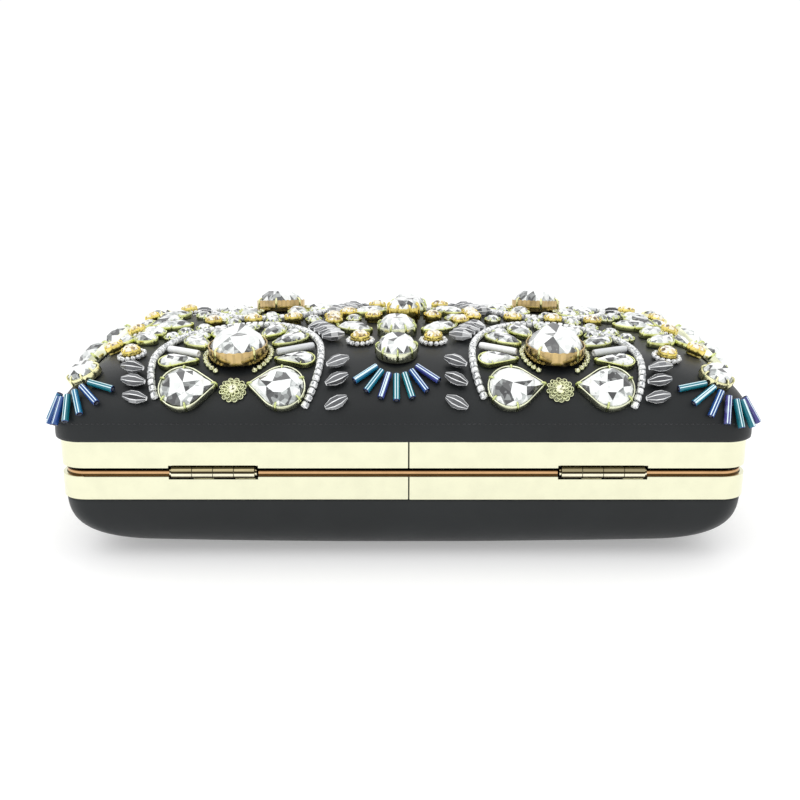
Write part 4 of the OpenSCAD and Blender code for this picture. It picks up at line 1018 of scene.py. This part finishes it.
def cut_tones(rows, around, chance):
    """Tones of clear glass with long facets: painted highlit edges between mostly dark panels."""
    tones = []
    panels = [chance.choice((0.1, 0.2, 0.3, 0.35, 0.4, 0.5)) for _ in range(around)]
    for k in range(rows):
        for i in range(around):
            edge = i % 2 == 0 or k > 2
            tones.append(chance.uniform(0.85, 1.0) if edge else panels[i] + chance.uniform(0, 0.08))
    return tones


def lit_tones(rows, around, chance):
    """Tones of the same glass packed close, which shows less of the cloth behind it."""
    return [max(tone, chance.uniform(0.3, 0.7)) for tone in cut_tones(rows, around, chance)]


def speckled(rows, around, chance):
    """Tones of lustred beads, which glitter from face to face."""
    return [chance.choice((0.15, 0.4, 0.7, 0.85, 1.0, 1.0)) for _ in range(rows * around)]


def plain(rows, around, chance):
    """One tone for the whole of a bead."""
    return [0.5 + 0.35 * chance.uniform(-1, 1)] * (rows * around)


medallion()
rosettes()
stone_chains()
bead_row("bugle_tubes", "bugle_beads", BLUE, "blue_glass", 24, round_profile(0.42, 0.12, 2),
         streaks)
bead_row("seed_bead_rows", "seed_bead_arches", PEARL, "white_beads", 14, round_profile(0.35, 0.42),
         speckled)
bead_row("frosted_rods", "frosted_bars", FROST, "white_beads", 14, round_profile(0.35, 0.2, 2),
         plain)
OVAL_PROFILE = [(0.36, -0.98), (0.97, -0.3), (0.97, 0.3), (0.36, 0.98), (0.2, 0.9), (0.2, -0.9)]
OVAL_EDGE = math.radians(4)
OVAL_TURNS = [math.pi / 4 * i + edge for i in range(8) for edge in (-OVAL_EDGE, OVAL_EDGE)]
for made, source, tones in (("oval_cut_beads", "oval_beads", cut_tones),
                            ("fringe_cut_beads", "fringe_beads", lit_tones)):
    bead_row(made, source, BEAD_CLEAR, "clear_crystal", OVAL_TURNS, OVAL_PROFILE, tones, True)


def stud_beads():
    """Round beads at the feet of the studs."""
    pile = Pile()
    chance = random.Random("studs")
    for points, _ in solids("stud_seed_beads"):
        centre = sum(points, Vector()) / len(points)
        r = max((p - centre).length for p in points)
        small, faces = ball((r, r, r), 7, 12)
        pile.add([centre + p for p in small], faces, speckled(1, len(faces), chance), True)
    put(pile.object("stud_bead_rings", PEARL), "lid", "white_beads", "stud_seed_beads")


stud_beads()
stitches()


# CAD solids that only need edges and a finish
def finish_node(node, material, width=0.0):
    """Gives a CAD node its material and rounds its edges."""
    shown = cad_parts[node]
    shown.data.materials.clear()
    shown.data.materials.append(material)
    if width:
        weld = shown.modifiers.new("weld", "WELD")
        weld.merge_threshold = 0.002 * MM
        bevel = shown.modifiers.new("edges", "BEVEL")
        bevel.width = width
        bevel.segments = 2
        bevel.limit_method = "ANGLE"
        bevel.angle_limit = math.radians(32)
        bevel.harden_normals = True
        smooth = shown.modifiers.new("normals", "WEIGHTED_NORMAL")
        smooth.keep_sharp = True


# Finish of each metal part, and how far its edges are rounded in millimetres
METAL_PARTS = {
    "base_band": (BAND_GOLD, 0.22), "lid_band": (BAND_GOLD, 0.22),
    "base_inner_rim": (ROSE_GOLD, 0.12), "lid_striker": (STEEL, 0.08),
    "left_hinge_base_leaf": (HINGE_GOLD, 0.12), "right_hinge_base_leaf": (HINGE_GOLD, 0.12),
    "left_hinge_lid_leaf": (HINGE_GOLD, 0.12), "right_hinge_lid_leaf": (HINGE_GOLD, 0.12),
    "left_hinge_pin": (HINGE_GOLD, 0.15), "right_hinge_pin": (HINGE_GOLD, 0.15),
    "catch_box": (HINGE_GOLD, 0.08), "catch_rivets": (HINGE_GOLD, 0.06),
    "catch_spring": (STEEL, 0.05), "button_clip": (STEEL, 0.05),
    "button_bush": (PALE_GOLD, 0.12), "push_button": (PALE_GOLD, 0.35),
}
for part, (look, edge) in METAL_PARTS.items():
    finish_node(part, look, edge * MM)
for part in ("base_shell", "lid_shell"):
    finish_node(part, BOARD.material)


# Stage, light and camera
LIGHT_AIM = Vector((0, 0, 0.03))
SKY_STRENGTH = 1.04
PAPER = (0.75, 0.75, 0.75)
PAPER_GLOW = 0.33
FLOOR_HALF = 60.0
FOCAL_SHARE = 1020 / 800
SENSOR = 36
CAMERA_PLACE = (-1.02 * MM, -331.6 * MM, GAP_Z + 96 * MM)
CAMERA_DOWN = 15


def area_light(name, place, size, power):
    """A soft rectangular light that shines at the case."""
    data = bpy.data.lights.new(name, "AREA")
    data.shape = "RECTANGLE"
    data.size, data.size_y = size
    data.energy = power
    light = bpy.data.objects.new(name, data)
    light.location = place
    light.rotation_euler = (LIGHT_AIM - Vector(place)).to_track_quat("-Z", "Y").to_euler()
    bpy.context.scene.collection.objects.link(light)


floor = bpy.data.objects.new("floor", bpy.data.meshes.new("floor"))
floor.data.from_pydata([(x * FLOOR_HALF, y * FLOOR_HALF, 0)
                        for x, y in ((-1, -1), (1, -1), (1, 1), (-1, 1))], [], [(0, 1, 2, 3)])
bpy.context.scene.collection.objects.link(floor)
paper = Shader("white_paper", PAPER, 1.0, Specular_IOR_Level=0.0, Emission_Color=(*WHITE, 1),
               Emission_Strength=PAPER_GLOW)
floor.data.materials.append(paper.material)

world = bpy.data.worlds.new("studio")
world.use_nodes = True
sky = world.node_tree.nodes["Background"].inputs
sky["Color"].default_value = (*WHITE, 1)
sky["Strength"].default_value = SKY_STRENGTH
bpy.context.scene.world = world
bpy.context.scene.view_settings.view_transform = "Standard"

area_light("key", (-0.25, -0.55, 0.75), (0.7, 0.5), 1.2)
area_light("top", (0.1, 0.1, 0.9), (0.9, 0.6), 1.2)

camera_data = bpy.data.cameras.new("camera")
camera_data.sensor_width = SENSOR
camera_data.lens = SENSOR * FOCAL_SHARE
camera = bpy.data.objects.new("camera", camera_data)
camera.location = CAMERA_PLACE
camera.rotation_euler = (math.radians(90 - CAMERA_DOWN), 0, 0)
bpy.context.scene.collection.objects.link(camera)
bpy.context.scene.camera = camera
